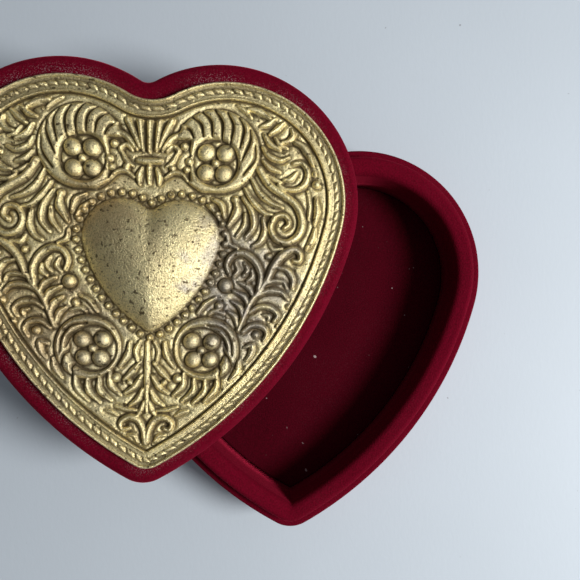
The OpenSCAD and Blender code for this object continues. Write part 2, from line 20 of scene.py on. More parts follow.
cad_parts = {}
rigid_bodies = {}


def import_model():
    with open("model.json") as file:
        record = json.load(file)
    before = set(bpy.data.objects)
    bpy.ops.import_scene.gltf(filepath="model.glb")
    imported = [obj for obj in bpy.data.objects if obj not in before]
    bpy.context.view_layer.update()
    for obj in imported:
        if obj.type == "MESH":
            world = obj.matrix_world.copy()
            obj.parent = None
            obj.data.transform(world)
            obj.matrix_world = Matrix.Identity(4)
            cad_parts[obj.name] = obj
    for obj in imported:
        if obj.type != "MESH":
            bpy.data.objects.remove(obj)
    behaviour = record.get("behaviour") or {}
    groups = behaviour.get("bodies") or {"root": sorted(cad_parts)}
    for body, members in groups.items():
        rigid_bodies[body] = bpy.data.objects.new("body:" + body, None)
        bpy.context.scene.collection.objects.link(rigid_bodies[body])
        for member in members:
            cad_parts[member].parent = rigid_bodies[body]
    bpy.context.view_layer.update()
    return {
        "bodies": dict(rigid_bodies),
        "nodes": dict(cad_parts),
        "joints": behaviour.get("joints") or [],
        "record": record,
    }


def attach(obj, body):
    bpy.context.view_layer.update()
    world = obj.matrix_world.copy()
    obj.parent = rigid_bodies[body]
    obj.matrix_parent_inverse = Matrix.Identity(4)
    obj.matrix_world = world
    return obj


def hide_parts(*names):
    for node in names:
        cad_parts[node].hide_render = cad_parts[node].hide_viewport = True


LOG = logging.getLogger("keepsake_box")
MM = 0.001
Point = tuple[float, float]
Place = tuple[float, float, float]
Width = tuple[float, float, float]
Colour = tuple[float, float, float]
Socket = bpy.types.NodeSocket
Outputs = bpy.types.NodeOutputs


# Outline of the box


class Arc(Enum):
    """Arcs of half a heart's outline, from the hollow between the lobes to the tip."""

    NOTCH = 0
    LOBE = 1
    SIDE = 2
    TIP = 3


@dataclass(frozen=True)
class Heart:
    """A heart outline made of arcs that run smoothly into each other."""

    width: float
    length: float
    lobe_r: float
    side_r: float
    notch_r: float
    tip_r: float

    def centres(self) -> dict[Arc, np.ndarray]:
        """Works out where the right-hand arcs have their centres.

        Returns:
            The centre of each arc, with the heart's middle at the origin.
        """
        lobe = np.array([self.width / 2 - self.lobe_r, self.length / 2 - self.lobe_r])
        tip = np.array([0.0, self.tip_r - self.length / 2])
        rise = math.sqrt((self.lobe_r + self.notch_r) ** 2 - lobe[0] ** 2)
        notch = np.array([0.0, lobe[1] + rise])
        gap = tip - lobe
        span = float(np.hypot(*gap))
        ra, rb = self.side_r - self.lobe_r, self.side_r - self.tip_r
        along = (ra * ra - rb * rb + span * span) / (2 * span)
        across = math.sqrt(ra * ra - along * along)
        side = lobe + along * gap / span + across * np.array([gap[1], -gap[0]]) / span
        return {Arc.NOTCH: notch, Arc.LOBE: lobe, Arc.SIDE: side, Arc.TIP: tip}

    def half_arcs(self) -> list[tuple[Arc, np.ndarray, float, float, float]]:
        """Lists the right-hand arcs from the notch to the tip.

        Returns:
            The arc, its centre, its radius, and its first and last bearing in radians.
        """
        c = self.centres()

        def bearing(v: np.ndarray) -> float:
            """Bearing of a direction in radians."""
            return math.atan2(v[1], v[0])

        to_lobe = bearing(c[Arc.LOBE] - c[Arc.NOTCH])
        to_side = bearing(c[Arc.LOBE] - c[Arc.SIDE])
        to_tip = bearing(c[Arc.TIP] - c[Arc.SIDE])
        return [
            (Arc.NOTCH, c[Arc.NOTCH], self.notch_r, -math.pi / 2, to_lobe),
            (Arc.LOBE, c[Arc.LOBE], self.lobe_r, to_lobe + math.pi, to_side),
            (Arc.SIDE, c[Arc.SIDE], self.side_r, to_side, to_tip),
            (Arc.TIP, c[Arc.TIP], self.tip_r, to_tip, -math.pi / 2),
        ]

    def inset_of(self, x: np.ndarray, y: np.ndarray) -> np.ndarray:
        """Measures how far inside the outline points lie.

        Args:
            x: Positions across the heart.
            y: Positions along the heart.

        Returns:
            The distance inside the outline, negative outside it.
        """
        x = np.abs(x)
        far, hair = 1e3, 1e-9
        best = np.full(np.shape(x), far)
        for arc, c, r, first, last in self.half_arcs():
            dx, dy = x - c[0], y - c[1]
            away = np.hypot(dx, dy)
            lo, hi = min(first, last), max(first, last)
            turn = np.mod(np.arctan2(dy, dx) - lo + hair, 2 * math.pi)
            depth = away - r if arc is Arc.NOTCH else r - away
            best = np.where((turn <= hi - lo + 2 * hair) & (depth < best), depth, best)
        return best


@dataclass(frozen=True)
class Station:
    """One place on a heart's outline, from which a section is measured inwards.

    A station of the left half is its twin on the right with the side turned.
    """

    centre: Point
    radius: float
    outward: Point
    concave: bool
    travelled: float
    side: int = 1

    def at(self, inset: np.ndarray) -> np.ndarray:
        """Places insets on the line through this station.

        Args:
            inset: Distances inwards from the outline.

        Returns:
            Points in the heart's plane, kept on this station's half of the heart.
        """
        reach = self.radius + inset if self.concave else self.radius - inset
        points = np.array(self.centre) + reach[:, None] * np.array(self.outward)
        points[:, 0] = self.side * np.maximum(points[:, 0], 0.0)
        return points


def stations_of(heart: Heart, step: float) -> list[Station]:
    """Spreads stations round a whole heart, from the notch round by the right to the notch.

    Args:
        heart: The outline.
        step: The longest distance from one station to the next.

    Returns:
        The stations in order, without a repeat at the end.
    """
    fewest = 6
    right: list[Station] = []
    travelled = 0.0
    for arc, c, r, first, last in heart.half_arcs():
        count = max(fewest, math.ceil(r * abs(last - first) / step))
        for i in range(count + (arc is Arc.TIP)):
            t = first + (last - first) * i / count
            walked = travelled + r * abs(t - first)
            right.append(Station(tuple(c), r, (math.cos(t), math.sin(t)), arc is Arc.NOTCH, walked))
        travelled += r * abs(last - first)
    left = [replace(s, travelled=2 * travelled - s.travelled, side=-1) for s in right[-2:0:-1]]
    return right + left


BOX = Heart(width=100.0, length=99.3, lobe_r=31.8, side_r=94.7, notch_r=3.4, tip_r=7.6)
PLATE = Heart(width=90.9, length=90.4, lobe_r=27.0, side_r=88.0, notch_r=10.3, tip_r=5.0)
BOSS = Heart(width=31.6, length=31.0, lobe_r=9.1, side_r=33.0, notch_r=2.0, tip_r=2.0)


# Meshes


def mesh_piece(name: str, points: np.ndarray, quads: np.ndarray, smooth: bool = True) -> bpy.types.Object:
    """Makes a mesh object from points in millimetres.

    Args:
        name: Name of the piece.
        points: One row for each vertex.
        quads: One row for each face; a triangle repeats its last corner.
        smooth: Whether the faces are shaded smooth.

    Returns:
        The new object, in the scene.
    """
    mesh = bpy.data.meshes.new(name)
    counts = np.where(quads[:, 2] == quads[:, 3], 3, 4)
    loops = quads[np.arange(4) < counts[:, None]]
    starts = np.concatenate([[0], np.cumsum(counts)[:-1]])
    mesh.vertices.add(len(points))
    mesh.vertices.foreach_set("co", (points * MM).astype(np.float32).ravel())
    mesh.loops.add(len(loops))
    mesh.loops.foreach_set("vertex_index", loops.astype(np.int32))
    mesh.polygons.add(len(quads))
    mesh.polygons.foreach_set("loop_start", starts.astype(np.int32))
    mesh.polygons.foreach_set("use_smooth", np.full(len(quads), smooth))
    mesh.update(calc_edges=True)
    mesh.validate()
    piece = bpy.data.objects.new(name, mesh)
    bpy.context.scene.collection.objects.link(piece)
    return piece


def mark(piece: bpy.types.Object, name: str, values: np.ndarray) -> None:
    """Stores a value at each vertex, for a finish to read."""
    made = piece.data.attributes.new(name, "FLOAT", "POINT")
    made.data.foreach_set("value", values.astype(np.float32))


def ring_quads(rings: int, across: int, closed: bool) -> np.ndarray:
    """Faces between the points of neighbouring stations.

    Args:
        rings: How many stations go round.
        across: How many points each station has.
        closed: Whether the last point of a station joins its first.

    Returns:
        One row of four vertex numbers for each face.
    """
    i = np.arange(rings)[:, None]
    j = np.arange(across if closed else across - 1)[None, :]
    a = i * across + j
    b = i * across + (j + 1) % across
    c = (i + 1) % rings * across + (j + 1) % across
    d = (i + 1) % rings * across + j
    return np.stack([b, a, d, c], -1).reshape(-1, 4)


def corner(centre: Point, radius: float, first: float, last: float, steps: int) -> list[Point]:
    """Rounded corner of a section.

    Args:
        centre: Centre of the rounding.
        radius: Its radius.
        first: First bearing in degrees.
        last: Last bearing in degrees.
        steps: How many steps it is drawn in.

    Returns:
        The points along it.
    """
    turns = np.radians(np.linspace(first, last, steps + 1))
    return [(centre[0] + radius * math.cos(t), centre[1] + radius * math.sin(t)) for t in turns]


def ripple(
    x: np.ndarray, y: np.ndarray, size: float, seed: float, z: np.ndarray | float = 0.0
) -> np.ndarray:
    """Smooth unevenness from a few crossing waves.

    Args:
        x: Positions in millimetres.
        y: Positions in millimetres.
        size: About the length of the longest wave.
        seed: A number that shifts the waves.
        z: Heights in millimetres.

    Returns:
        Values from about -1 to 1.
    """
    waves, stretch, loudest = 5, 1.9, 2.2
    total = np.zeros(np.shape(x))
    for k in range(1, waves + 1):
        a, b, c = math.sin(seed * k * 1.7), math.cos(seed * k * 2.3), math.sin(seed * k * 3.1 + 1)
        total = total + np.sin((a * x + b * y + c * z) * 2 * math.pi * k / size / stretch + seed * 5 * k) / k
    return total / loudest


@dataclass(frozen=True)
class Placement:
    """Where a heart lies in the row frame."""

    shift: Point = (0.0, 0.0)
    level: float = 0.0
    turn: float = 0.0

    def place(self, points: np.ndarray) -> np.ndarray:
        """Moves points from the heart's own frame into the row frame.

        Args:
            points: Rows of x, y, z in millimetres.

        Returns:
            The same points where the heart lies.
        """
        c, s = math.cos(math.radians(self.turn)), math.sin(math.radians(self.turn))
        x, y, z = points[:, 0], points[:, 1], points[:, 2]
        return np.stack([c * x - s * y + self.shift[0], s * x + c * y + self.shift[1], z + self.level], -1)


AT_HOME = Placement()
LAID_OPEN = Placement(shift=(-34.6, 15.8), level=20.8, turn=-1.0)


def sweep_cover(
    name: str,
    section: list[Point],
    where: Placement,
    step: float,
    uneven: float,
    seed: float,
) -> bpy.types.Object:
    """Carries a closed section round the box's heart.

    Args:
        name: Name of the piece.
        section: Points of inset and height, clockwise with insets to the right.
        where: Where the heart lies.
        step: The longest distance from one station to the next.
        uneven: How far the surface strays from its section.
        seed: A number that shifts the unevenness.

    Returns:
        The new piece.
    """
    wave, flat_part = 22.0, 1.0
    places = stations_of(BOX, step)
    inset, height = np.array(section).T
    points = np.concatenate([np.column_stack([s.at(inset), height]) for s in places])
    if uneven:
        stray = uneven * ripple(points[:, 0], points[:, 1], wave, seed, points[:, 2])
        points[:, 2] += np.where(points[:, 2] > height.min() + flat_part, stray, 0.0)
    piece = mesh_piece(name, where.place(points), ring_quads(len(places), len(section), True))
    mark(piece, "inset", np.tile(inset, len(places)))
    return piece


def swell(piece: bpy.types.Object, held: np.ndarray, most: float, pressure: float = 4.0) -> None:
    """Swells a pad in a short cloth simulation, applies it and rounds the result off.

    Args:
        piece: The pad in its flat starting shape.
        held: Whether each of its vertices is glued down.
        most: How far a point may move, in millimetres.
        pressure: Pressure of the stuffing on the cloth.
    """
    enlarged, frames = 20.0, 8
    scene = bpy.context.scene
    start = np.zeros(len(piece.data.vertices) * 3, np.float32)
    piece.data.vertices.foreach_get("co", start)
    trial = bpy.data.objects.new("trial", piece.data.copy())
    scene.collection.objects.link(trial)
    trial.data.vertices.foreach_set("co", start * enlarged)
    glued = trial.vertex_groups.new(name="glued")
    glued.add([int(i) for i in np.flatnonzero(held)], 1.0, "REPLACE")
    cloth = trial.modifiers.new("swell", "CLOTH")
    cloth.settings.quality = 5
    cloth.settings.use_pressure = True
    cloth.settings.uniform_pressure_force = pressure
    cloth.settings.vertex_group_mass = glued.name
    cloth.settings.effector_weights.gravity = 0.0
    cloth.collision_settings.use_collision = False
    for frame in range(1, frames + 1):
        scene.frame_set(frame)
    blown = np.zeros_like(start)
    trial.evaluated_get(bpy.context.evaluated_depsgraph_get()).data.vertices.foreach_get("co", blown)
    moved = (blown / enlarged - start).reshape(-1, 3)
    furthest = np.linalg.norm(moved, axis=1).max()
    LOG.info("%s: swells %.2f mm before its cap of %.2f mm", piece.name, furthest / MM, most)
    start += (moved * min(1.0, most * MM / max(furthest, 1e-9))).ravel()
    piece.data.vertices.foreach_set("co", start)
    bpy.data.objects.remove(trial)
    scene.frame_set(1)
    rounding = piece.modifiers.new("rounding", "SUBSURF")
    rounding.levels = rounding.render_levels = 1
    graph = bpy.context.evaluated_depsgraph_get()
    finished = bpy.data.meshes.new_from_object(piece.evaluated_get(graph), depsgraph=graph)
    piece.modifiers.clear()
    piece.data = finished


def heart_pad(
    name: str,
    inset: float,
    low: float,
    high: float,
    edge_r: float,
    crown: float,
    where: Placement,
    facing_down: bool = False,
    seed: float = 1.0,
) -> bpy.types.Object:
    """Flat heart-shaped pad with soft edges, which may swell.

    Args:
        name: Name of the piece.
        inset: Distance of its edge from the box's outline.
        low: Height of its lower face.
        high: Height of its upper face before it swells.
        edge_r: Radius of its soft edge.
        crown: How far its middle may swell, or 0 for a sheet that lies flat.
        where: Where the heart lies.
        facing_down: Whether the upper face looks down.
        seed: A number that shifts the unevenness.

    Returns:
        The new pad.
    """
    step, across, wave, highest_bump = 3.0, 10, 30.0, 0.06
    hub = np.array([0.0, 4.0])
    places = stations_of(BOX, step)
    n = len(places)
    edge = corner((inset + edge_r, high - edge_r), edge_r, 180, 90, 4)
    rims = np.stack([s.at(np.array([p[0] for p in edge])) for s in places])
    rings = [np.column_stack([rims[:, 0], np.full(n, low)])]
    rings += [np.column_stack([rims[:, k], np.full(n, z)]) for k, (_, z) in enumerate(edge)]
    for k in range(1, across):
        xy = hub + (rims[:, -1] - hub) * (1 - k / across)
        bump = min(highest_bump, crown / 4) * min(1.0, 4 * k / across)
        rings.append(np.column_stack([xy, high + bump * ripple(*xy.T, wave, seed)]))
    points = np.concatenate([*rings, [[*hub, high], [*hub, low]]])
    i = np.arange(n)
    j = (i + 1) % n
    last = len(points) - 2 - n
    top, under = np.full(n, len(points) - 2), np.full(n, len(points) - 1)
    faces = [np.stack([k + n + i, k + n + j, k + j, k + i], -1) for k in range(0, last, n)]
    faces += [np.stack([last + j, last + i, top, top], -1), np.stack([i, j, under, under], -1)]
    quads = np.concatenate(faces)
    held = np.zeros(len(points), bool)
    held[: 2 * n] = held[-1] = True
    if facing_down:
        points[:, 2] = low + high - points[:, 2]
        quads = quads[:, [1, 0, 3, 2]]
    piece = mesh_piece(name, where.place(points), quads)
    if crown:
        swell(piece, held, crown)
    return piece


# Relief of the brass plate


@dataclass(frozen=True)
class Stroke:
    """A raised or sunk line of the stamped pattern."""

    path: tuple[Point, ...]
    width: Width
    rise: float

    def drawn(self, spacing: float = 0.12) -> tuple[np.ndarray, np.ndarray]:
        """Runs a smooth curve through the path's points.

        Args:
            spacing: Distance from one sample to the next.

        Returns:
            The samples, and the half width of the stroke at each.
        """
        p = np.array(self.path, float)
        ends = np.vstack([2 * p[0] - p[1], p, 2 * p[-1] - p[-2]])
        pieces = []
        for k in range(len(p) - 1):
            a, b, c, d = ends[k : k + 4]
            n = max(2, int(np.hypot(*(c - b)) / spacing))
            t = np.linspace(0, 1, n, endpoint=False)[:, None]
            square, cube = 2 * a - 5 * b + 4 * c - d, 3 * b - a - 3 * c + d
            pieces.append(0.5 * (2 * b + (c - a) * t + square * t**2 + cube * t**3))
        line = np.vstack([*pieces, p[-1:]])
        t = np.linspace(0, 1, len(line))
        wide = np.interp(t, [0, 0.5, 1], self.width)
        return line, wide


def strokes(width: Width, *rows: tuple[float, ...]) -> list[Stroke]:
    """Strokes of one width; a row holds a stroke's rise, then x and y of every point."""
    return [Stroke(tuple(zip(row[1::2], row[2::2])), width, row[0]) for row in rows]


@dataclass(frozen=True)
class Mound:
    """A round or oval raised spot of the stamped pattern."""

    centre: Point
    radius: float
    rise: float
    stretch: float = 1.0
    turn: float = 0.0


@dataclass
class Relief:
    """Height of the stamped sheet over a square grid."""

    pitch: float = 0.2
    half: float = 46.0
    field_x: np.ndarray = field(init=False)
    field_y: np.ndarray = field(init=False)
    height: np.ndarray = field(init=False)

    def __post_init__(self) -> None:
        """Lays out the grid."""
        axis = np.arange(-self.half, self.half + self.pitch / 2, self.pitch)
        self.field_x, self.field_y = np.meshgrid(axis, axis)
        self.height = np.zeros_like(self.field_x)

    def window(self, low: np.ndarray, high: np.ndarray) -> tuple[slice, slice]:
        """Grid rows and columns that cover a box.

        Args:
            low: Lowest x and y.
            high: Highest x and y.

        Returns:
            Slices for the rows and the columns.
        """
        count = self.field_x.shape[0]
        i0, j0 = np.clip(((low + self.half) / self.pitch).astype(int) - 1, 0, count)
        i1, j1 = np.clip(((high + self.half) / self.pitch).astype(int) + 2, 0, count)
        return slice(j0, j1), slice(i0, i1)

    def add_stroke(self, stroke: Stroke) -> None:
        """Raises or sinks the sheet along a stroke.

        Args:
            stroke: The stroke, which sinks the sheet if its rise is negative.
        """
        beyond, roundness = 9.0, 0.7
        line, wide = stroke.drawn()
        reach = wide.max()
        box = self.window(line.min(0) - reach, line.max(0) + reach)
        x, y = self.field_x[box], self.field_y[box]
        best = np.full(x.shape, beyond)
        for (px, py), w in zip(line, wide):
            np.minimum(best, ((x - px) ** 2 + (y - py) ** 2) / (w * w), out=best)
        shape = stroke.rise * np.clip(1 - best, 0, 1) ** roundness
        if stroke.rise > 0:
            self.height[box] = np.maximum(self.height[box], shape)
        else:
            self.height[box] += shape

    def add_mound(self, mound: Mound) -> None:
        """Raises the sheet over a spot.

        Args:
            mound: The spot.
        """
        c = np.array(mound.centre)
        reach = mound.radius * max(1.0, mound.stretch)
        box = self.window(c - reach, c + reach)
        dx, dy = self.field_x[box] - c[0], self.field_y[box] - c[1]
        cs, sn = math.cos(math.radians(mound.turn)), math.sin(math.radians(mound.turn))
        u, v = (cs * dx + sn * dy) / mound.stretch, -sn * dx + cs * dy
        shape = np.sqrt(np.clip(1 - (u * u + v * v) / mound.radius**2, 0, 1))
        self.height[box] = np.maximum(self.height[box], mound.rise * shape)

    def soften(self, reach: float) -> np.ndarray:
        """Blurs the height.

        Args:
            reach: Spread of the blur in millimetres.

        Returns:
            The blurred height.
        """
        return blurred(self.height, reach / self.pitch)


def blurred(values: np.ndarray, spread: float) -> np.ndarray:
    """Blurs a grid of values.

    Args:
        values: The grid.
        spread: Standard deviation in grid steps.

    Returns:
        The blurred grid.
    """
    reach = max(1, int(3 * spread))
    kernel = np.exp(-0.5 * (np.arange(-reach, reach + 1) / spread) ** 2)
    kernel /= kernel.sum()
    out = np.pad(values, reach, mode="edge")
    out = sum(w * out[:, k : k + values.shape[1]] for k, w in enumerate(kernel))
    return sum(w * out[k : k + values.shape[0], :] for k, w in enumerate(kernel))


@dataclass(frozen=True)
class Bowl:
    """A raised ring round a flower, between two circles that needn't share a middle."""

    outer: Point
    outer_r: float
    inner: Point
    inner_r: float
    rise: float
    from_x: float
    above_y: float

    def height(self, x: np.ndarray, y: np.ndarray) -> np.ndarray:
        """Height of the ring at points of the pattern's right half.

        Args:
            x: Positions across the pattern.
            y: Positions along the pattern.

        Returns:
            The ring's height, 0 away from it.
        """
        slope, shoulder = 1.4, 0.9
        to_edge = self.outer_r - np.hypot(x - self.outer[0], y - self.outer[1])
        to_bowl = np.hypot(x - self.inner[0], y - self.inner[1]) - self.inner_r
        cut = np.maximum(x - self.from_x, (y - self.above_y) * slope)
        depth = np.minimum(np.minimum(to_edge, to_bowl), cut)
        return self.rise * np.sqrt(np.clip(depth / shoulder, 0, 1))


@dataclass(frozen=True)
class Ornament:
    """Traditional scrolls, leaves and flowers: the right half of the pattern, mirrored to the left.

    Its points are written as they were drawn, in millimetres. The origin is the point of the
    drawing that lies on the plate's middle.
    """

    origin: Point = (1.0, -0.2)
    thin: Width = (0.35, 0.62, 0.35)
    leaf: Width = (0.4, 0.85, 0.4)
    full: Width = (0.5, 1.1, 0.5)
    cut: Width = (0.3, 0.5, 0.25)
    groove_depth: float = 0.75

    def bowls(self) -> list[Bowl]:
        """The fanned rings round the two flowers."""
        return [
            Bowl((16.4, 28.9), 9.7, (15.9, 26.3), 5.2, rise=0.95, from_x=10.2, above_y=31.0),
            Bowl((14.5, -17.0), 7.5, (13.3, -17.3), 5.4, rise=0.95, from_x=0.0, above_y=40.0),
        ]

    def grooves(self) -> list[Stroke]:
        """Grooves that part the fans' ribs."""
        rows = (
            (7.4, 34.6, 10, 33.4, 11, 31.6), (10.5, 36.4, 12.6, 34.7, 13.2, 32),
            (12.7, 37.8, 14.8, 35.6, 15.2, 32.2), (15.6, 38.4, 17.4, 35.4, 17.4, 31.6),
            (18.6, 37.8, 19.9, 34.8, 19.4, 30.8), (21.2, 36.8, 22.4, 34.2, 21.6, 29.8),
            (23.8, 34.2, 23.9, 31.4, 22, 26.8), (25.1, 30.6, 24.9, 27.2, 22.4, 23.6),
            (14.6, -11.4, 18.2, -12.2, 20.2, -15, 20.6, -18.2), (16.2, -13.2, 18.4, -14.6, 19.4, -17),
            (17.3, -17, 19.6, -18.8, 20.2, -21.6, 18.8, -24.6), (16.6, -20.2, 17.8, -21.6, 17.6, -23.6),
        )
        return strokes(self.cut, *((-self.groove_depth, *row) for row in rows))

    def top_strokes(self) -> list[Stroke]:
        """The shell and the band under it, with the leaves beside them."""
        return [
            *strokes((0.75, 0.6, 0.4), (0.9, 1, 35.6, 1, 28)),
            *strokes((0.8, 0.65, 0.35), (0.9, 3.3, 35.2, 2.5, 28.6)),
            *strokes((0.8, 0.75, 0.35), (0.9, 6, 35.3, 4.6, 32.4, 3.2, 29)),
            *strokes((0.7, 0.85, 0.35), (0.9, 7.9, 32.3, 6, 31.2, 3.9, 28.6)),
            *strokes((0.95, 0.9, 0.7), (0.9, 1, 26, 2.2, 26, 3.5, 26.1)),
            *strokes((0.7, 0.6, 0.4), (0.8, 1, 24.6, 1, 20.8)),
            *strokes(self.leaf, (0.85, 2.6, 24.4, 3.3, 22.6, 3.2, 20.8)),
            *strokes(
                self.thin,
                (0.7, 4.9, 28.4, 6.3, 29.6, 7.6, 28.6, 6.8, 27.2), (0.7, 4.8, 24.8, 6.2, 26, 7.2, 27.8),
                (0.75, 4.5, 22.3, 6.4, 23.6, 8.4, 23.3, 9.7, 21.8), (0.7, 8.4, 34.4, 9.2, 33),
            ),
            *strokes(self.full, (0.9, 10.4, 21.4, 13, 20.3, 16, 19.9)),
        ]

    def corner_strokes(self) -> list[Stroke]:
        """Leaves and curls between the upper flowers and the border."""
        return [
            *strokes(
                self.thin,
                (0.6, 20.6, 39.6, 22.4, 38.6, 24, 37), (0.7, 29.6, 32.6, 30.8, 31, 32.4, 30.4),
                (0.65, 28, 24.2, 29.6, 23, 31.2, 22.4), (0.5, 37.4, 20.4, 38, 17.4, 37.8, 14),
            ),
            *strokes(self.full, (0.8, 23.4, 38.9, 25.8, 38.5, 28.3, 37)),
            *strokes(
                self.leaf,
                (0.8, 26.2, 35, 27.8, 35.6, 29.6, 37), (0.8, 28.4, 33.4, 30, 34.6, 31.9, 36.4),
                (0.8, 31.2, 31.6, 32.9, 32, 33.8, 33.4, 33.4, 34.8),
                (0.7, 31.8, 23, 33.4, 23.2, 34.8, 24.8), (0.8, 27, 33.4, 28.4, 31.2, 30.8, 29.8),
                (0.8, 26.8, 30.4, 28.2, 28.4, 30.8, 27.4, 32.8, 28.2),
                (0.75, 27, 27.2, 28.6, 25.6, 30.8, 24.8), (0.75, 39.4, 19.2, 39.8, 15.8, 39.2, 12.8),
                (0.75, 39.4, 12, 38.8, 9.4, 37.4, 7),
            ),
            *strokes((0.6, 1.15, 0.4), (0.9, 34.3, 31.8, 36, 31, 37.4, 29.2, 38.6, 26.6)),
            *strokes(
                (0.6, 0.85, 0.4),
                (0.85, 34, 26.8, 36, 27, 37.4, 25, 36.9, 22.4, 35, 20.9, 32.4, 20.8, 30.6, 21.8),
            ),
        ]

    def side_strokes(self) -> list[Stroke]:
        """The large scrolls and the leaves between them and the raised heart."""
        return [
            *strokes(
                (1.0, 1.0, 0.6),
                (
                    0.95, 26.2, 25.2, 28.4, 21.8, 31.8, 19.5, 34.8, 17.2, 36.3, 13.7, 35.6, 10.4, 33, 8.5,
                    30.3, 9.2, 29, 11.8, 30.2, 14.4, 32.4, 14.6, 33.3, 12.8, 32.2, 11.7,
                ),
            ),
            *strokes(
                self.leaf,
                (0.8, 24.3, 23.2, 26.2, 19.8, 28.8, 17.6, 31.6, 16.6),
                (0.75, 22.8, 20.6, 24.8, 17.6, 27.4, 15.2, 29.2, 14.8),
                (0.8, 15.2, 18, 17.4, 16.8, 18.3, 13.8),
                (0.85, 22.4, 18.6, 24.6, 15.2, 25, 11.8, 23.2, 9.2),
                (0.8, 27.2, 14, 27.6, 10.8, 26.6, 8.4, 24.8, 7.2),
                (0.75, 30.8, 2.6, 33, 2, 34.4, 0, 34.3, -2.2), (0.8, 21.8, -1.2, 24.2, -2.4, 25.2, -4.4),
                (0.8, 20.6, -3.2, 23.2, -4.6, 24.2, -7), (0.8, 20.2, -5.6, 22.2, -7, 22.9, -9.6),
                (0.7, 19.4, -8, 21, -9.2, 21.6, -11.4), (0.8, 26.2, -4.2, 28.6, -3, 31.6, -3.2, 33.2, -4.8),
                (0.8, 24.4, -8.2, 26.6, -6.8, 29.4, -7, 31, -8.6, 30.2, -10.2),
                (0.8, 22.9, -12.8, 25, -11.2, 27.4, -11.4, 28.6, -13, 27.8, -14.8),
                (0.75, 23.4, -16.4, 25.2, -15.9, 24.9, -18, 23.8, -19.6),
                (0.7, 22.2, -19.6, 21.8, -22, 20.2, -24.2),
            ),
            *strokes(
                self.thin,
                (0.6, 14.2, 16.4, 16, 15, 17.4, 12.8), (0.7, 23, 14.8, 22.8, 12, 21, 9.4),
                (0.7, 19, 10, 19.4, 7.8, 21.4, 6.8), (0.6, 28.6, 8.2, 29.6, 6.8, 31.8, 7),
                (0.7, 21, 3.2, 21.6, 1.6, 20.6, 0.2), (0.7, 23, 3.4, 23.8, 1.8, 22.8, 0.2),
                (0.6, 24.8, 1.8, 25, 0.2, 23.8, -0.8), (0.75, 12.4, -8.8, 14.2, -6.4, 16.4, -5),
                (0.6, 15, -8.8, 16.4, -8, 18.4, -8.6), (0.65, 27.6, -1.6, 30, -0.6, 32.2, -0.8, 33, -2.2),
                (0.6, 27.6, -8.6, 29, -9, 28.8, -10),
            ),
            *strokes(self.full, (0.85, 20.6, 18.2, 21.1, 15.4, 19.2, 11.8)),
            *strokes(
                (0.7, 1.15, 0.55),
                (0.95, 28.4, -0.6, 29.8, 2.8, 31.8, 5.4, 34.4, 6.9, 36, 5.8, 35.8, 4.1, 34.5, 4.2),
            ),
            *strokes(
                (0.5, 0.95, 0.6),
                (0.9, 19.6, 0.6, 19, 3, 20.4, 5.2, 23, 5.6, 25.6, 3.6, 26.9, 0.6, 26.4, -2.6),
            ),
            *strokes((0.6, 0.75, 0.6), (0.85, 21.9, -12.4, 24.4, -6.2, 27, -2.6, 28.8, 0.6)),
        ]

    def lower_strokes(self) -> list[Stroke]:
        """The stem, the leaves and the curls towards the tip."""
        return [
            *strokes((0.45, 0.5, 0.35), (0.6, 1, -15.6, 1.2, -22, 1, -31.8)),
            *strokes(
                self.thin,
                (0.7, 2.6, -15.4, 3.6, -17.6, 3.2, -20), (0.65, 1.6, -29.6, 2.4, -31.8, 3.4, -33),
                (0.6, 3, -39, 3.8, -37.6, 5.2, -37.4), (0.65, 3.4, -31.6, 5.6, -31.4, 8.2, -30.6),
                (0.55, 7.6, -32.8, 9, -32, 10.4, -31.6),
            ),
            *strokes(
                self.leaf,
                (0.8, 4.9, -15.6, 5.4, -18.6, 7.2, -21.4), (0.8, 2.6, -20.4, 4.4, -22.6, 6.2, -24.4),
                (0.8, 2.2, -23.4, 3.8, -26, 6, -27.6), (0.75, 1.9, -26.6, 3, -29, 4.8, -30.4),
                (0.8, 9.4, -22.8, 9.2, -25.6, 7, -28), (0.85, 11.8, -24.2, 11.6, -27, 9, -29.4),
                (0.85, 14.4, -24.2, 14.2, -27, 11.6, -29.8), (0.85, 17.2, -23.4, 16.8, -26.4, 14.2, -29.4),
            ),
            *strokes(
                (0.7, 0.95, 0.5),
                (0.9, 1.2, -39.4, 1.6, -36.2, 3, -33.8, 5, -33.2, 6.8, -34.4, 6.4, -36, 5, -35.8),
            ),
        ]

    def mounds(self) -> list[Mound]:
        """Petals, beads and buds, each given by x, y and radius."""
        petals = (
            (13.9, 28.5, 2.0), (18.2, 28.5, 2.0), (13.8, 23.9, 2.0), (17.9, 23.8, 2.0), (11.1, -15.2, 1.85),
            (15.7, -15.3, 1.8), (11.6, -19.5, 1.85), (15.4, -19.4, 1.75),
        )
        buds = (
            (16, 26.1, 1.0), (13.4, -17.3, 0.95), (8.9, 29.7, 0.95), (8.9, 32, 0.85), (10, 26.3, 0.9),
            (9.5, 24.4, 0.8), (6.2, 24.6, 0.8), (18.7, -2, 1.6), (17.3, -6.8, 0.9), (39.5, 22.2, 1.0),
            (38.9, 24.6, 0.7), (20.7, 18, 0.95), (8, -24, 1.1), (26, -13.4, 0.9), (4.9, -25, 0.7),
            (33.6, -6.6, 0.8), (31.2, -11.4, 0.7), (28.6, 5, 0.8), (18.2, 20.3, 0.7), (22.2, 23, 0.6),
        )
        leaves = [Mound((x, y), r, rise=1.15, stretch=1.08, turn=45) for x, y, r in petals]
        return leaves + [Mound((x, y), r, rise=0.5 + 0.4 * r) for x, y, r in buds]

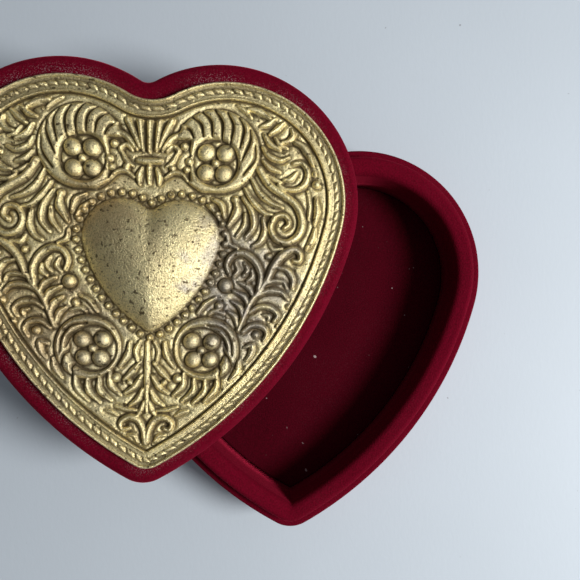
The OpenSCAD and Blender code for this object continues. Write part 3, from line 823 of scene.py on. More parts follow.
    def draw(self, relief: Relief) -> None:
        """Draws both halves of the pattern on the sheet.

        Args:
            relief: The sheet's height over the plate's own grid.
        """
        ox, oy = self.origin
        x, y = np.abs(relief.field_x) + ox, relief.field_y + oy
        for bowl in self.bowls():
            relief.height = np.maximum(relief.height, bowl.height(x, y))
        raised = self.top_strokes() + self.corner_strokes() + self.side_strokes() + self.lower_strokes()
        for stroke in self.grooves() + raised:
            for side in (1, -1):
                path = tuple((side * (px - ox), py - oy) for px, py in stroke.path)
                relief.add_stroke(replace(stroke, path=path))
        for mound in self.mounds():
            cx, cy = mound.centre
            for side in (1, -1):
                relief.add_mound(replace(mound, centre=(side * (cx - ox), cy - oy), turn=side * mound.turn))


@dataclass
class BrassPlate:
    """The stamped brass plate on the lid."""

    at: Point = (1.2, -0.4)
    foot: float = 10.2
    face: float = 11.3
    boss_rise: float = 4.6
    boss_at: Point = (0.6, 2.3)
    bead_gap: float = 1.15
    bead_r: float = 0.74
    bead_rise: float = 1.1
    bead_pitch: float = 2.4
    rope_at: float = 2.05
    rope_r: float = 0.52
    rope_rise: float = 0.5
    rope_pitch: float = 2.45
    pillow_rise: float = 0.32
    dent_rise: float = 0.05
    relief_gain: float = 1.4
    field_from: float = 4.2
    field_sinks_at: float = 4.95
    field_rises_at: float = 4.5
    field_fade: float = 0.4
    field_drop: float = 0.4

    def boss_height(self, x: np.ndarray, y: np.ndarray) -> np.ndarray:
        """Height of the raised heart.

        Args:
            x: Positions across the plate.
            y: Positions along the plate.

        Returns:
            Its height over the sheet, 0 outside it.
        """
        step, blur, crease, shoulder, crown = 0.3, 19, 1.2, 1.7, 0.66
        u, v = x - self.boss_at[0], y - self.boss_at[1]
        rim = np.array([s.at(np.array([0.0]))[0] for s in stations_of(BOSS, step)])
        turn = np.arctan2(rim[:, 1], rim[:, 0])
        order = np.argsort(turn)
        bearing = np.arange(-180, 180) * math.pi / 180
        far = np.interp(bearing, turn[order], np.hypot(*rim.T)[order], period=2 * math.pi)
        softened = sum(np.roll(far, k) * (1 - abs(k) / blur) for k in range(1 - blur, blur)) / blur
        out, round_it = np.hypot(u, v), np.arctan2(v, u)
        sharp = np.clip(out / np.interp(round_it, bearing, far, period=2 * math.pi), 0, 1)
        soft = out / np.interp(round_it, bearing, softened, period=2 * math.pi)
        share = np.clip(soft + (sharp - soft) * sharp**crease, 0, 1)
        return self.boss_rise * np.clip(1 - share**shoulder, 0, 1) ** crown

    def bead_row(self) -> np.ndarray:
        """Spaces the beads evenly round the raised heart.

        Returns:
            Their middles, measured from the raised heart's middle.
        """
        step = 0.1
        row = np.array([s.at(np.array([-self.bead_gap]))[0] for s in stations_of(BOSS, step)])
        row = np.vstack([row, row[:1]])
        walked = np.concatenate([[0.0], np.cumsum(np.hypot(*np.diff(row, axis=0).T))])
        at = np.linspace(0.0, walked[-1], round(walked[-1] / self.bead_pitch), endpoint=False)
        return np.column_stack([np.interp(at, walked, row[:, 0]), np.interp(at, walked, row[:, 1])])

    def border_height(self, inset: np.ndarray, travelled: np.ndarray) -> np.ndarray:
        """Height of the thin rim, the corded band and the inner ridge.

        Args:
            inset: Distances in from the plate's edge.
            travelled: Distances round the outline.

        Returns:
            Heights over the sheet.
        """
        profile = (
            (0.0, 0.1), (0.12, 0.5), (0.32, 0.68), (0.52, 0.68), (0.66, 0.5), (0.85, 0.08), (1.45, 0.0),
            (2.55, 0.0), (2.75, 0.2), (3.45, 0.24), (3.72, 0.62), (3.92, 0.66), (4.04, 0.42), (4.25, -0.3),
            (4.8, -0.4),
        )
        slant, lean, length = 0.12, 0.24, 0.86
        across = (inset - self.rope_at) / self.rope_r
        along = 2 * np.mod(travelled / self.rope_pitch - slant * across, 1.0) - 1
        side = np.clip(1 - (across - lean * along) ** 2, 0, 1)
        ends = np.clip(1 - (np.abs(along) / length) ** 4, 0, 1)
        return np.interp(inset, *np.array(profile).T) + self.rope_rise * np.sqrt(side * ends)

    def field(self) -> tuple[np.ndarray, np.ndarray, np.ndarray, np.ndarray, np.ndarray]:
        """Draws the pattern inside the border.

        Returns:
            Grids of x, y, height, how far each point stands out of its surroundings, and the
            distance in from the plate's edge.
        """
        raised, crowding, full, skin, dent_size, surroundings = 0.2, 0.42, 0.3, 0.1, 9.0, 0.9
        relief = Relief()
        Ornament().draw(relief)
        x, y = relief.field_x, relief.field_y
        for bx, by in self.bead_row():
            centre = (bx + self.boss_at[0], by + self.boss_at[1])
            relief.add_mound(Mound(centre, self.bead_r, self.bead_rise))
        crowded = blurred((relief.height > raised).astype(float), crowding / relief.pitch)
        relief.height = np.maximum(relief.height, self.pillow_rise * np.clip(1 - crowded / full, 0, 1))
        boss = self.boss_height(x, y)
        relief.height = np.where(boss > 0, boss, self.relief_gain * relief.height)
        relief.height = relief.soften(skin)
        relief.height += self.dent_rise * ripple(x, y, dent_size, seed=2.0)
        inset = PLATE.inset_of(x, y)
        ceiling = np.clip((inset - self.field_rises_at) / self.field_fade, 0, 9)
        relief.height = np.minimum(relief.height, ceiling)
        relief.height -= self.field_drop * np.clip((self.field_sinks_at - inset) / self.field_fade, 0, 1)
        # The brass finish paints shade, with some grime, where the sheet stands lower than its surroundings.
        shade_and_grime_mask = relief.height - relief.soften(surroundings)
        return x, y, relief.height, shade_and_grime_mask, inset

    def build(self) -> bpy.types.Object:
        """Makes the plate as one mesh of its border and its field.

        Returns:
            The plate, where the lid lies.
        """
        step, border_w, samples, tuck_w = 0.28, 4.6, 42, 4.8
        # Values of the painted shade mask: the turned-down foot is painted dark as shade where it meets the
        # velvet, the border's coves below rim_middle are darker, and contrast sets how strong it is.
        foot_shade, rim_middle, contrast = -0.2, 0.32, 0.9
        x, y, height, shade_and_grime_mask, inset = self.field()
        keep = inset > self.field_from
        cells = keep[:-1, :-1] & keep[1:, :-1] & keep[1:, 1:] & keep[:-1, 1:]
        used = np.zeros_like(keep)
        for dj, di in ((0, 0), (0, 1), (1, 0), (1, 1)):
            used[dj : dj + cells.shape[0], di : di + cells.shape[1]] |= cells
        number = np.full(x.shape, -1)
        number[used] = np.arange(used.sum())
        quads = np.stack([number[:-1, :-1], number[:-1, 1:], number[1:, 1:], number[1:, :-1]], -1)[cells]
        points = np.column_stack([x[used], y[used], self.face + height[used]])
        places = stations_of(PLATE, step)
        edge = np.stack([s.at(np.append(np.linspace(0.0, border_w, samples), tuck_w)) for s in places])
        ex, ey = edge[..., 0], edge[..., 1]
        travelled = np.array([s.travelled for s in places])[:, None] + 0 * ex
        ez = self.face + self.border_height(PLATE.inset_of(ex, ey), travelled)
        foot = np.column_stack([edge[:, 0], np.full(len(edge), self.foot)])[:, None]
        border = np.concatenate([foot, np.stack([ex, ey, ez], -1)], 1)
        faces = ring_quads(len(places), border.shape[1], False)[:, ::-1] + len(points)
        plate = mesh_piece(
            "brass_plate_relief",
            LAID_OPEN.place(np.concatenate([points, border.reshape(-1, 3)]) + np.array([*self.at, 0.0])),
            np.concatenate([quads, faces]),
        )
        # Painted shade over the border: the foot and the low coves darker, the crests lighter.
        rim_shade_and_grime = np.concatenate([np.full((len(places), 1), foot_shade), ez - self.face - rim_middle], 1)
        shown = np.concatenate([shade_and_grime_mask[used], rim_shade_and_grime.ravel()])
        mark(plate, "shade_and_grime_mask", np.clip(0.5 + shown * contrast, 0, 1))
        return plate


# Finishes


@dataclass(frozen=True)
class Graph:
    """A node tree, with short ways to add the nodes that the finishes need."""

    tree: bpy.types.NodeTree

    def feed(self, made: bpy.types.Node, inputs: dict[str | int, object]) -> None:
        """Links a node's inputs, or sets those that are given as plain values.

        Args:
            made: The node.
            inputs: Its inputs by name or number, each with a socket or a value.
        """
        for name, value in inputs.items():
            if isinstance(value, Socket):
                self.tree.links.new(value, made.inputs[name])
            else:
                made.inputs[name].default_value = value

    def add(
        self, kind: str, inputs: dict[str | int, object] | None = None, **settings: object
    ) -> bpy.types.Node:
        """Adds a node.

        Args:
            kind: Blender's name of the node type.
            inputs: What its inputs are fed with.
            settings: Properties to set on it first.

        Returns:
            The new node.
        """
        made = self.tree.nodes.new(kind)
        for name, value in settings.items():
            setattr(made, name, value)
        self.feed(made, inputs or {})
        return made

    def noise(self, vector: Socket, scale: Socket | float, detail: float, rough: float = 0.5) -> Socket:
        """Adds a noise texture and returns its value."""
        inputs = {"Vector": vector, "Scale": scale, "Detail": detail, "Roughness": rough}
        return self.add("ShaderNodeTexNoise", inputs).outputs["Fac"]

    def span(
        self, value: Socket, low: float, high: float, to_low: float = 0.0, to_high: float = 1.0
    ) -> Socket:
        """Maps a value from one range to another, clamped at the ends."""
        inputs = {"Value": value, "From Min": low, "From Max": high, "To Min": to_low, "To Max": to_high}
        return self.add("ShaderNodeMapRange", inputs, clamp=True).outputs["Result"]

    def mix(self, factor: Socket, first: Socket | Colour, second: Socket | Colour) -> Socket:
        """Mixes two colours.

        Args:
            factor: How much there is of the second colour.
            first: A socket or a colour.
            second: A socket or a colour.

        Returns:
            The mixed colour.
        """
        made = self.add("ShaderNodeMix", {"Factor": factor}, data_type="RGBA")
        ends = [k for k, socket in enumerate(made.inputs) if socket.type == "RGBA"]
        self.feed(made, {k: (*c, 1.0) if isinstance(c, tuple) else c for k, c in zip(ends, (first, second))})
        return next(socket for socket in made.outputs if socket.type == "RGBA")

    def reckon(self, operation: str, first: Socket, second: Socket | float) -> Socket:
        """Reckons with two values and returns what comes out."""
        return self.add("ShaderNodeMath", {0: first, 1: second}, operation=operation).outputs[0]

    def times(self, first: Socket, second: Socket | float) -> Socket:
        """Multiplies two values."""
        return self.reckon("MULTIPLY", first, second)

    def bump(self, height: Socket, strength: float, distance: float) -> Socket:
        """Turns a height into a normal."""
        inputs = {"Height": height, "Strength": strength, "Distance": distance}
        return self.add("ShaderNodeBump", inputs).outputs["Normal"]

    def place(self, effect: bpy.types.NodeTree, vector: Socket, **values: object) -> Outputs:
        """Places a shared effect with its own values and returns its outputs."""
        return self.add("ShaderNodeGroup", {"Vector": vector, **values}, node_tree=effect).outputs


def start_effect(
    name: str, inputs: dict[str, float | None], outputs: list[str]
) -> tuple[Graph, Outputs, bpy.types.Node]:
    """Starts a shared effect with named inputs and outputs.

    Args:
        name: Name of the node group.
        inputs: Input names with their usual values, or None for a vector.
        outputs: Output names.

    Returns:
        The group's graph, what its inputs put out inside it, and the node for its outputs.
    """
    group = bpy.data.node_groups.new(name, "ShaderNodeTree")
    for label, value in inputs.items():
        kind = "NodeSocketVector" if value is None else "NodeSocketFloat"
        socket = group.interface.new_socket(label, in_out="INPUT", socket_type=kind)
        if value is not None:
            socket.default_value = value
    for label in outputs:
        group.interface.new_socket(label, in_out="OUTPUT", socket_type="NodeSocketFloat")
    graph = Graph(group)
    return graph, graph.add("NodeGroupInput").outputs, graph.add("NodeGroupOutput")


class Effects:
    """Effects, built once: pile and dust, which several materials use, and the brass's spots."""

    def __init__(self) -> None:
        """Builds the node groups."""
        self.pile = self.build_pile()
        self.dust = self.build_dust()
        self.spot = self.build_spot()

    @staticmethod
    def build_pile() -> bpy.types.NodeTree:
        """Short pile: fine tufts and broad patches where it lies another way.

        Returns:
            The node group.
        """
        inputs = {"Vector": None, "Tufts": 2600.0, "Patches": 90.0}
        graph, given, sink = start_effect("Pile", inputs, ["Height", "Tuft", "Patch"])
        fine = graph.noise(given["Vector"], given["Tufts"], 3.0)
        broad = graph.noise(given["Vector"], given["Patches"], 4.0)
        tuft, patch = graph.span(fine, 0.32, 0.68), graph.span(broad, 0.35, 0.65)
        graph.feed(sink, {"Height": fine, "Tuft": tuft, "Patch": patch})
        return graph.tree

    @staticmethod
    def build_dust() -> bpy.types.NodeTree:
        """Dust: small specks gathered in patches.

        Returns:
            The node group.
        """
        inputs = {"Vector": None, "Specks": 4200.0, "Amount": 0.5}
        graph, given, sink = start_effect("Dust", inputs, ["Mask"])
        specks = graph.span(graph.noise(given["Vector"], given["Specks"], 1.0), 0.56, 0.72)
        patches = graph.span(graph.noise(given["Vector"], 60.0, 3.0), 0.4, 0.62, 0.15, 1.0)
        graph.feed(sink, {"Mask": graph.times(graph.times(specks, patches), given["Amount"])})
        return graph.tree

    @staticmethod
    def build_spot() -> bpy.types.NodeTree:
        """One ragged spot round a centre, for tarnish.

        Returns:
            The node group.
        """
        inputs = {"Vector": None, "Reach": 0.01, "Strength": 0.5, "Centre": None}
        graph, given, sink = start_effect("Spot", inputs, ["Mask"])
        ends = {0: given["Vector"], 1: given["Centre"]}
        away = graph.add("ShaderNodeVectorMath", ends, operation="DISTANCE").outputs["Value"]
        share = graph.reckon("DIVIDE", away, given["Reach"])
        frayed = graph.span(graph.noise(given["Vector"], 260.0, 4.0, 0.6), 0.3, 0.7, 0.0, 0.9)
        near = graph.span(graph.reckon("SUBTRACT", share, frayed), 0.0, 0.6, 1.0, 0.0)
        graph.feed(sink, {"Mask": graph.times(near, given["Strength"])})
        return graph.tree


class Finish:
    """Base of the finishes: a named material with one Principled shader."""

    name: str

    def look(self, graph: Graph, where: Socket, effects: Effects) -> dict[str, object]:
        """What the finish feeds its shader with; each kind of finish has its own."""
        raise NotImplementedError

    def build(self, effects: Effects) -> bpy.types.Material:
        """Builds the material.

        Args:
            effects: The shared effects.

        Returns:
            The new material.
        """
        material = bpy.data.materials.new(self.name)
        material.use_nodes = True
        graph = Graph(material.node_tree)
        where = graph.add("ShaderNodeTexCoord").outputs["Object"]
        graph.feed(material.node_tree.nodes["Principled BSDF"], self.look(graph, where, effects))
        return material


@dataclass(frozen=True)
class VelvetFinish(Finish):
    """Short-pile velvet."""

    name: str = "crimson velvet"
    # The default tones, used by the floor pad, make the darker of two copies of one velvet: painted shade
    # inside the box.
    deep: Colour = (0.034, 0.0003, 0.003)
    bright: Colour = (0.066, 0.0005, 0.006)
    dusty: Colour = (0.33, 0.19, 0.22)
    dust: float = 0.03
    near_plate: float = 0.0
    fibre: Colour = (0.42, 0.33, 0.33)
    lint: float = 0.0
    sheen: float = 0.25
    sheen_tint: Colour = (1.0, 0.04, 0.12)

    def look(self, graph: Graph, where: Socket, effects: Effects) -> dict[str, object]:
        """Pile that is brighter where it stands up, with dust towards the plate, and lint.

        Args:
            graph: The material's graph.
            where: Places on the piece.
            effects: The shared effects.

        Returns:
            What the shader is fed with.
        """
        pile = graph.place(effects.pile, where)
        inset = graph.add("ShaderNodeAttribute", attribute_name="inset").outputs["Fac"]
        amount = graph.span(inset, 1.5, 4.2, self.dust, self.dust + self.near_plate)
        dust = graph.place(effects.dust, where, Amount=amount)["Mask"]
        lint = graph.span(graph.noise(where, 520.0, 1.0), 0.77, 0.80, 0.0, self.lint)
        colour = graph.mix(pile["Tuft"], self.deep, self.bright)
        colour = graph.mix(graph.times(pile["Patch"], 0.35), colour, self.bright)
        colour = graph.mix(dust, colour, self.dusty)
        return {
            "Base Color": graph.mix(lint, colour, self.fibre),
            "Roughness": 0.9,
            "Specular IOR Level": 0.05,
            "Sheen Weight": self.sheen,
            "Sheen Roughness": 0.35,
            "Sheen Tint": (*self.sheen_tint, 1.0),
            "Normal": graph.bump(pile["Height"], 0.5, 0.0003),
        }


@dataclass(frozen=True)
class BrassFinish(Finish):
    """Stamped brass with painted shade and some grime in the hollows, worn crests, pits and tarnish."""

    name: str = "tarnished brass"
    crest: Colour = (1.0, 0.89, 0.51)
    worn: Colour = (0.80, 0.68, 0.38)
    # Dark of the speckles and pits, also used for the shade and grime painted into the hollows.
    hollow: Colour = (0.095, 0.066, 0.030)
    grey: Colour = (0.40, 0.37, 0.34)
    rust: Colour = (0.46, 0.28, 0.14)

    def look(self, graph: Graph, where: Socket, effects: Effects) -> dict[str, object]:
        """Brass with painted shade and some grime where the sheet lies low, with spots, speckles and pits.

        Args:
            graph: The material's graph.
            where: Places on the piece.
            effects: The shared effects.

        Returns:
            What the shader is fed with.
        """
        shade_and_grime_mask = graph.add("ShaderNodeAttribute", attribute_name="shade_and_grime_mask").outputs["Fac"]
        grain = graph.noise(where, 2300.0, 3.0, 0.7)
        cloud = graph.noise(where, 120.0, 5.0, 0.65)
        colour = graph.mix(graph.span(cloud, 0.35, 0.65), self.worn, self.crest)
        for tint, centre, reach, strength in (
            (self.grey, (-0.0115, 0.0155, 0.0315), 0.015, 0.75),
            (self.grey, (-0.049, -0.002, 0.0315), 0.014, 0.35),
            (self.grey, (-0.016, 0.002, 0.0315), 0.011, 0.6),
            (self.rust, (-0.061, 0.004, 0.0315), 0.016, 0.35),
            (self.rust, (-0.044, 0.030, 0.0330), 0.010, 0.35),
        ):
            spot = graph.place(effects.spot, where, Reach=reach, Strength=strength, Centre=centre)["Mask"]
            colour = graph.mix(spot, colour, tint)
        speckle = graph.times(graph.span(grain, 0.30, 0.52, 1.0, 0.0), 0.7)
        # Painted shade, with some grime, where the sheet lies lower than its surroundings; it also dulls the
        # metal there.
        low = graph.span(shade_and_grime_mask, 0.18, 0.45, 0.92, 0.0)
        pits = graph.span(graph.noise(where, 850.0, 3.0), 0.62, 0.67, 0.0, 0.85)
        for share in (speckle, low, pits):
            colour = graph.mix(share, colour, self.hollow)
        return {
            "Base Color": colour,
            "Metallic": graph.span(low, 0.0, 1.0, 1.0, 0.8),
            "Roughness": graph.span(grain, 0.3, 0.7, 0.56, 0.36),
            "Normal": graph.bump(grain, 0.8, 0.0003),
        }


@dataclass(frozen=True)
class ClothFinish(Finish):
    """Plain woven or felted cloth."""

    name: str
    dark: Colour
    light: Colour
    threads: float = 1600.0

    def look(self, graph: Graph, where: Socket, effects: Effects) -> dict[str, object]:
        """Threads in two tones under a little dust.

        Args:
            graph: The material's graph.
            where: Places on the piece.
            effects: The shared effects.

        Returns:
            What the shader is fed with.
        """
        thread = graph.noise(where, self.threads, 3.0)
        dust = graph.place(effects.dust, where, Amount=0.25)["Mask"]
        colour = graph.mix(graph.span(thread, 0.35, 0.65), self.dark, self.light)
        return {
            "Base Color": graph.mix(dust, colour, self.light),
            "Roughness": 0.9,
            "Sheen Weight": 0.2,
            "Normal": graph.bump(thread, 0.5, 0.0003),
        }


@dataclass(frozen=True)
class BoardFinish(Finish):
    """Raw greyboard with flecks of fibre."""

    name: str = "greyboard"
    dark: Colour = (0.22, 0.20, 0.17)
    light: Colour = (0.36, 0.34, 0.30)

    def look(self, graph: Graph, where: Socket, effects: Effects) -> dict[str, object]:
        """Fibres in two tones.

        Args:
            graph: The material's graph.
            where: Places on the piece.
            effects: The shared effects, of which it uses none.

        Returns:
            What the shader is fed with.
        """
        fibre = graph.noise(where, 700.0, 6.0, 0.7)
        colour = graph.mix(graph.span(fibre, 0.35, 0.65), self.dark, self.light)
        return {"Base Color": colour, "Roughness": 0.85, "Normal": graph.bump(fibre, 0.3, 0.0002)}


@dataclass(frozen=True)
class FloorFinish(Finish):
    """Pale, faintly streaked floor with dark specks, which can be seen through from below."""

    name: str = "pale floor"
    pale: Colour = (0.53, 0.595, 0.665)
    speck: Colour = (0.16, 0.16, 0.17)

    def look(self, graph: Graph, where: Socket, effects: Effects) -> dict[str, object]:
        """Clouds, streaks and specks.

        Args:
            graph: The material's graph.
            where: Places on the floor.
            effects: The shared effects, of which it uses none.

        Returns:
            What the shader is fed with.
        """
        along = {"Vector": where, "Scale": (1.0, 0.45, 1.0)}
        stretched = graph.add("ShaderNodeMapping", along).outputs["Vector"]
        streak = graph.noise(stretched, 900.0, 3.0, 0.6)
        cloud = graph.noise(where, 14.0, 4.0)
        speck = graph.span(graph.noise(where, 420.0, 1.0), 0.79, 0.82, 0.0, 0.6)
        dim = tuple(0.95 * c for c in self.pale)
        colour = graph.mix(graph.span(cloud, 0.3, 0.7), dim, self.pale)
        colour = graph.mix(graph.span(streak, 0.3, 0.7, 0.0, 0.35), colour, dim)
        return {
            "Base Color": graph.mix(speck, colour, self.speck),
            "Roughness": 0.6,
            "Specular IOR Level": 0.25,
            "Normal": graph.bump(streak, 0.15, 0.0002),
        }

    def build(self, effects: Effects) -> bpy.types.Material:
        """Builds the material and clears it from below.

        Args:
            effects: The shared effects.

        Returns:
            The new material.
        """
        material = super().build(effects)
        nodes = material.node_tree.nodes
        graph = Graph(material.node_tree)
        below = graph.add("ShaderNodeNewGeometry").outputs["Backfacing"]
        clear = graph.add("ShaderNodeBsdfTransparent").outputs["BSDF"]
        ends = {"Fac": below, 1: nodes["Principled BSDF"].outputs["BSDF"], 2: clear}
        seen = graph.add("ShaderNodeMixShader", ends).outputs["Shader"]
        graph.feed(nodes["Material Output"], {"Surface": seen})
        return material


def dress(piece: bpy.types.Object, material: bpy.types.Material) -> None:
    """Gives a piece one material."""
    piece.data.materials.clear()
    piece.data.materials.append(material)


def stand_in(piece: bpy.types.Object, body: str, slot: str, *nodes: str) -> None:
    """Hides the nodes that a piece replaces and hangs the piece on the body that carries it.

    Args:
        piece: The piece.
        body: The body that carries it.
        slot: Not used.
        nodes: The nodes that it replaces.
    """
    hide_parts(*nodes)
    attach(piece, body)


# Sub-assemblies


@dataclass
class Base:
    """The base: wrapped walls with their ledge, the padded neck and the floor pad."""

    ledge_z: float = 17.0
    ledge_w: float = 2.3
    neck_top: float = 20.5
    neck_in: float = 7.0
    neck_fall: float = 0.3
    outer_r: float = 1.1
    inner_r: float = 2.1
    floor_z: float = 5.5
    foot: float = 3.1
    under: float = 0.5
    turned_in: float = 10.0

    def build(
        self, velvet: bpy.types.Material, painted_lit_velvet: bpy.types.Material, felt: bpy.types.Material
    ) -> list[bpy.types.Object]:
        """Builds the base's soft pieces.

        Args:
            velvet: Finish of the floor pad.
            painted_lit_velvet: Finish of the wrap and the neck.
            felt: Finish of the underside.

        Returns:
            The pieces.
        """
        pieces = [self.wrap(), self.neck(), self.floor_pad(), self.felt()]
        # The wrap and the neck take the velvet painted lighter as lit; the floor pad takes the darker copy
        # painted as shade.
        for piece, finish in zip(pieces, (painted_lit_velvet, painted_lit_velvet, velvet, felt)):
            dress(piece, finish)
        return pieces

    def wrap(self) -> bpy.types.Object:
        """The velvet wrap over the walls and the ledge, turned in underneath.

        Returns:
            The new piece.
        """
        t, z = 0.6, self.ledge_z
        foot_r, fold_r, nose_r = 0.9, 1.0, 0.55
        section = [
            (self.turned_in, self.under + t),
            *corner((foot_r, self.under + foot_r), foot_r - t, 270, 180, 3),
            (t, z - fold_r),
            *corner((fold_r, z - fold_r), fold_r - t, 180, 90, 3),
            (self.ledge_w - 0.1, z - t),
            (self.ledge_w - 0.05, z - 0.15),
            (self.ledge_w - 0.45, z),
            *corner((nose_r, z - nose_r), nose_r, 90, 180, 6),
            (0.0, z / 2),
            *corner((foot_r, self.under + foot_r), foot_r, 180, 270, 6),
            (self.turned_in, self.under),
        ]
        piece = sweep_cover("base_velvet_wrap", section[::-1], AT_HOME, step=0.8, uneven=0.05, seed=1.3)
        stand_in(piece, "base", "velvet", "base_velvet")
        return piece

    def neck(self) -> bpy.types.Object:
        """The padded neck in its velvet, from the ledge over the crest to the floor.

        Returns:
            The new piece.
        """
        outer = (self.ledge_w + self.outer_r, self.neck_top - self.outer_r)
        inner = (self.neck_in - self.inner_r, self.neck_top - self.neck_fall - self.inner_r)
        across, down = inner[0] - outer[0], inner[1] - outer[1]
        lean = math.acos((self.outer_r - self.inner_r) / math.hypot(across, down))
        crown = math.degrees(lean + math.atan2(down, across))
        below_ledge, knee = 0.4, 12.0
        section = [
            (self.ledge_w, self.foot),
            (self.ledge_w, self.ledge_z - below_ledge),
            *corner(outer, self.outer_r, 180, crown, 7),
            *corner(inner, self.inner_r, crown, 0, 9),
            (self.neck_in, knee),
            (self.neck_in, self.foot),
        ]
        piece = sweep_cover("neck_velvet_cover", section, AT_HOME, step=0.6, uneven=0.08, seed=2.1)
        stand_in(piece, "base", "velvet", "neck_velvet", "neck_padding")
        return piece

    def floor_pad(self) -> bpy.types.Object:
        """The velvet-covered pad on the floor.

        Returns:
            The new piece.
        """
        inset, low, high, edge_r, crown = 7.05, 3.95, self.floor_z - 0.45, 0.4, 0.42
        piece = heart_pad("floor_velvet_pad", inset, low, high, edge_r, crown, AT_HOME, seed=0.7)
        stand_in(piece, "base", "velvet", "floor_velvet", "floor_wadding")
        return piece

    def felt(self) -> bpy.types.Object:
        """The felt under the base.

        Returns:
            The new piece.
        """
        inset, edge_r, crown = 2.0, 0.2, 0.0
        piece = heart_pad(
            "base_felt_cover", inset, 0.0, self.under, edge_r, crown, AT_HOME, facing_down=True
        )
        stand_in(piece, "base", "felt", "base_felt")
        return piece


@dataclass
class Lid:
    """The lid: its velvet wrap, its lining and the brass plate."""

    height: float = 10.2
    edge_r: float = 1.6
    inner: float = 2.0
    turned_in: float = 12.0

    def build(
        self, velvet: bpy.types.Material, lining: bpy.types.Material, brass: bpy.types.Material
    ) -> list[bpy.types.Object]:
        """Builds the lid's shown pieces.

        Args:
            velvet: Finish of the wrap.
            lining: Finish of the inside.
            brass: Finish of the plate.

        Returns:
            The pieces.
        """
        wrap = self.wrap()
        dress(wrap, velvet)
        cloths = [self.side_lining(), self.ceiling_pad()]
        for piece in cloths:
            dress(piece, lining)
        plate = BrassPlate().build()
        stand_in(plate, "lid", "brass", "brass_plate")
        dress(plate, brass)
        return [wrap, *cloths, plate]

    def wrap(self) -> bpy.types.Object:
        """The velvet over the lid's top edge and walls.

        Returns:
            The new piece.
        """
        t, r, h = 0.6, self.edge_r, self.height
        section = [
            (self.turned_in, h - t),
            *corner((r, h - r), r - t, 90, 180, 4),
            (t, t + 0.1),
            (self.inner, t + 0.1),
            *corner((self.inner - 0.1, 0.3), 0.3, 60, -90, 3),
            *corner((0.5, 0.5), 0.5, 270, 180, 4),
            (0.0, h / 2),
            *corner((r, h - r), r, 180, 90, 9),
            (4.5, h),
            (self.turned_in, h),
        ]
        piece = sweep_cover("lid_velvet_wrap", section, LAID_OPEN, step=0.6, uneven=0.05, seed=3.7)
        stand_in(piece, "lid", "velvet", "lid_velvet")
        return piece

    def side_lining(self) -> bpy.types.Object:
        """The cloth on the inside of the lid's walls.

        Returns:
            The new piece.
        """
        back, face, edge, low, high = 1.72, 2.0, 1.98, 0.75, 7.5
        section = [(back, low), (back, high), (edge, high), (face, 4.0), (edge, low)]
        piece = sweep_cover("lid_side_lining_cloth", section, LAID_OPEN, step=0.8, uneven=0.0, seed=4.1)
        stand_in(piece, "lid", "lining", "lid_side_lining")
        return piece

    def ceiling_pad(self) -> bpy.types.Object:
        """The padded lining under the lid's top.

        Returns:
            The new piece.
        """
        inset, low, high, edge_r, crown = 2.1, 5.35, 6.65, 0.4, 0.3
        piece = heart_pad(
            "ceiling_lining_pad", inset, low, high, edge_r, crown, LAID_OPEN, facing_down=True, seed=1.9
        )
        stand_in(piece, "lid", "lining", "ceiling_lining", "ceiling_wadding")
        return piece


# Studio


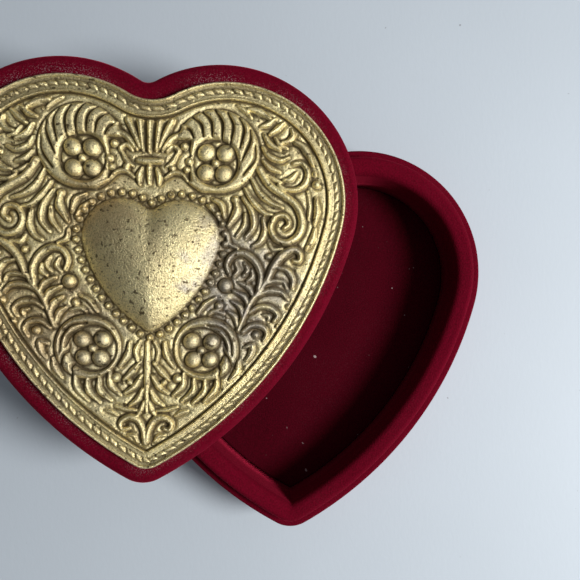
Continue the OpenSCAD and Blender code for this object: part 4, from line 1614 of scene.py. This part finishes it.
@dataclass
class Studio:
    """Floor, light and camera."""

    floor_half: float = 8000.0
    floor_level: float = -0.05
    window: Place = (380.0, -70.0, 400.0)
    window_size: float = 200.0
    window_watts: float = 3.5
    aim: Place = (0.0, 0.0, 10.0)
    lamp_colour: Colour = (1.0, 0.98, 0.95)
    sky: tuple[float, float] = (0.10, 0.42)
    sky_colour: Colour = (0.93, 0.96, 1.0)
    focal_px: float = 600.0
    frame_px: float = 580.0
    sensor: float = 36.0
    principal: Point = (330.0, 340.0)
    eye: Place = (-2.0, 6.2, 174.63)
    tilt: Place = (-2.263, -4.383, 0.234)

    def build(self, effects: Effects) -> None:
        """Builds the floor, the lamp, the sky and the camera.

        Args:
            effects: The shared effects.
        """
        self.floor(FloorFinish().build(effects))
        self.sky_light()
        self.lamp()
        self.camera()

    def floor(self, material: bpy.types.Material) -> None:
        """Lays the floor under the box.

        Args:
            material: Its finish.
        """
        far, level = self.floor_half, self.floor_level
        points = np.array([[-far, -far, level], [far, -far, level], [far, far, level], [-far, far, level]])
        floor = mesh_piece("floor", points, np.array([[0, 1, 2, 3]]), False)
        dress(floor, material)

    def sky_light(self) -> None:
        """Hangs a soft sky that is paler at the right."""
        world = bpy.data.worlds.new("studio")
        bpy.context.scene.world = world
        world.use_nodes = True
        graph = Graph(world.node_tree)
        where = graph.add("ShaderNodeTexCoord").outputs["Generated"]
        across = graph.add("ShaderNodeSeparateXYZ", {"Vector": where}).outputs["X"]
        light = {"Color": (*self.sky_colour, 1.0), "Strength": graph.span(across, -0.5, 0.9, *self.sky)}
        graph.feed(world.node_tree.nodes["Background"], light)

    def lamp(self) -> None:
        """Hangs one large soft lamp at the right, like a window."""
        lamp = bpy.data.lights.new("window", "AREA")
        lamp.shape = "DISK"
        lamp.size = self.window_size * MM
        lamp.energy = self.window_watts
        lamp.color = self.lamp_colour
        held = bpy.data.objects.new("window", lamp)
        bpy.context.scene.collection.objects.link(held)
        held.location = Vector(self.window) * MM
        held.rotation_euler = (Vector(self.aim) - Vector(self.window)).to_track_quat("-Z", "Y").to_euler()

    def camera(self) -> None:
        """Sets the camera where the photograph was taken from."""
        lens = bpy.data.cameras.new("camera")
        lens.sensor_width = self.sensor
        lens.sensor_fit = "HORIZONTAL"
        lens.lens = self.focal_px / self.frame_px * self.sensor
        lens.shift_x = (self.frame_px / 2 - self.principal[0]) / self.frame_px
        lens.shift_y = (self.principal[1] - self.frame_px / 2) / self.frame_px
        lens.clip_start, lens.clip_end = 0.01, 30.0
        held = bpy.data.objects.new("camera", lens)
        bpy.context.scene.collection.objects.link(held)
        rx, ry, rz = (math.radians(a) for a in self.tilt)
        turn = Matrix.Rotation(rz, 3, "Z") @ Matrix.Rotation(rx, 3, "X") @ Matrix.Rotation(ry, 3, "Y")
        held.matrix_world = Matrix.Translation(Vector(self.eye) * MM) @ turn.to_4x4()
        bpy.context.scene.camera = held
        bpy.context.scene.view_settings.view_transform = "Standard"


BOARDS = (
    "base_board", "base_wall_left", "base_wall_right", "neck_board_left", "neck_board_right",
    "turn_in_infill", "floor_card", "lid_board", "lid_wall_left", "lid_wall_right", "ceiling_card",
    "plate_backing",
)


def main() -> None:
    """Builds the box's looks and the studio round it."""
    logging.basicConfig(level=logging.INFO, format="%(name)s: %(message)s")
    for leftover in list(bpy.data.objects):
        bpy.data.objects.remove(leftover)
    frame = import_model()
    effects = Effects()
    # The floor pad's velvet, in the darker default tones that paint the inside of the box in shade.
    velvet = VelvetFinish(lint=0.8).build(effects)
    lining = ClothFinish("crimson lining cloth", (0.10, 0.002, 0.012), (0.24, 0.01, 0.04)).build(effects)
    felt = ClothFinish("dark felt", (0.02, 0.001, 0.004), (0.06, 0.006, 0.014), 900.0).build(effects)
    board = BoardFinish().build(effects)
    brass = BrassFinish().build(effects)
    for name in BOARDS:
        dress(frame["nodes"][name], board)
    # The lighter copy of the velvet for the neck and the wraps: painted light where they face the lamp.
    lit = {"deep": (0.075, 0.0005, 0.006), "bright": (0.135, 0.0009, 0.012)}
    painted_lit_velvet = VelvetFinish("crimson velvet painted lighter", sheen=0.22, **lit).build(effects)
    # The lid's wrap: real dust towards the plate, on the velvet painted lighter as lit.
    dusty = VelvetFinish(
        "crimson velvet painted lighter with dust", dust=0.05, near_plate=0.95, sheen=0.4, **lit
    ).build(effects)
    made = Base().build(velvet, painted_lit_velvet, felt) + Lid().build(dusty, lining, brass)
    for piece in made:
        LOG.info("%s: %d faces", piece.name, len(piece.data.polygons))
    Studio().build(effects)


if __name__ == "__main__":
    main()
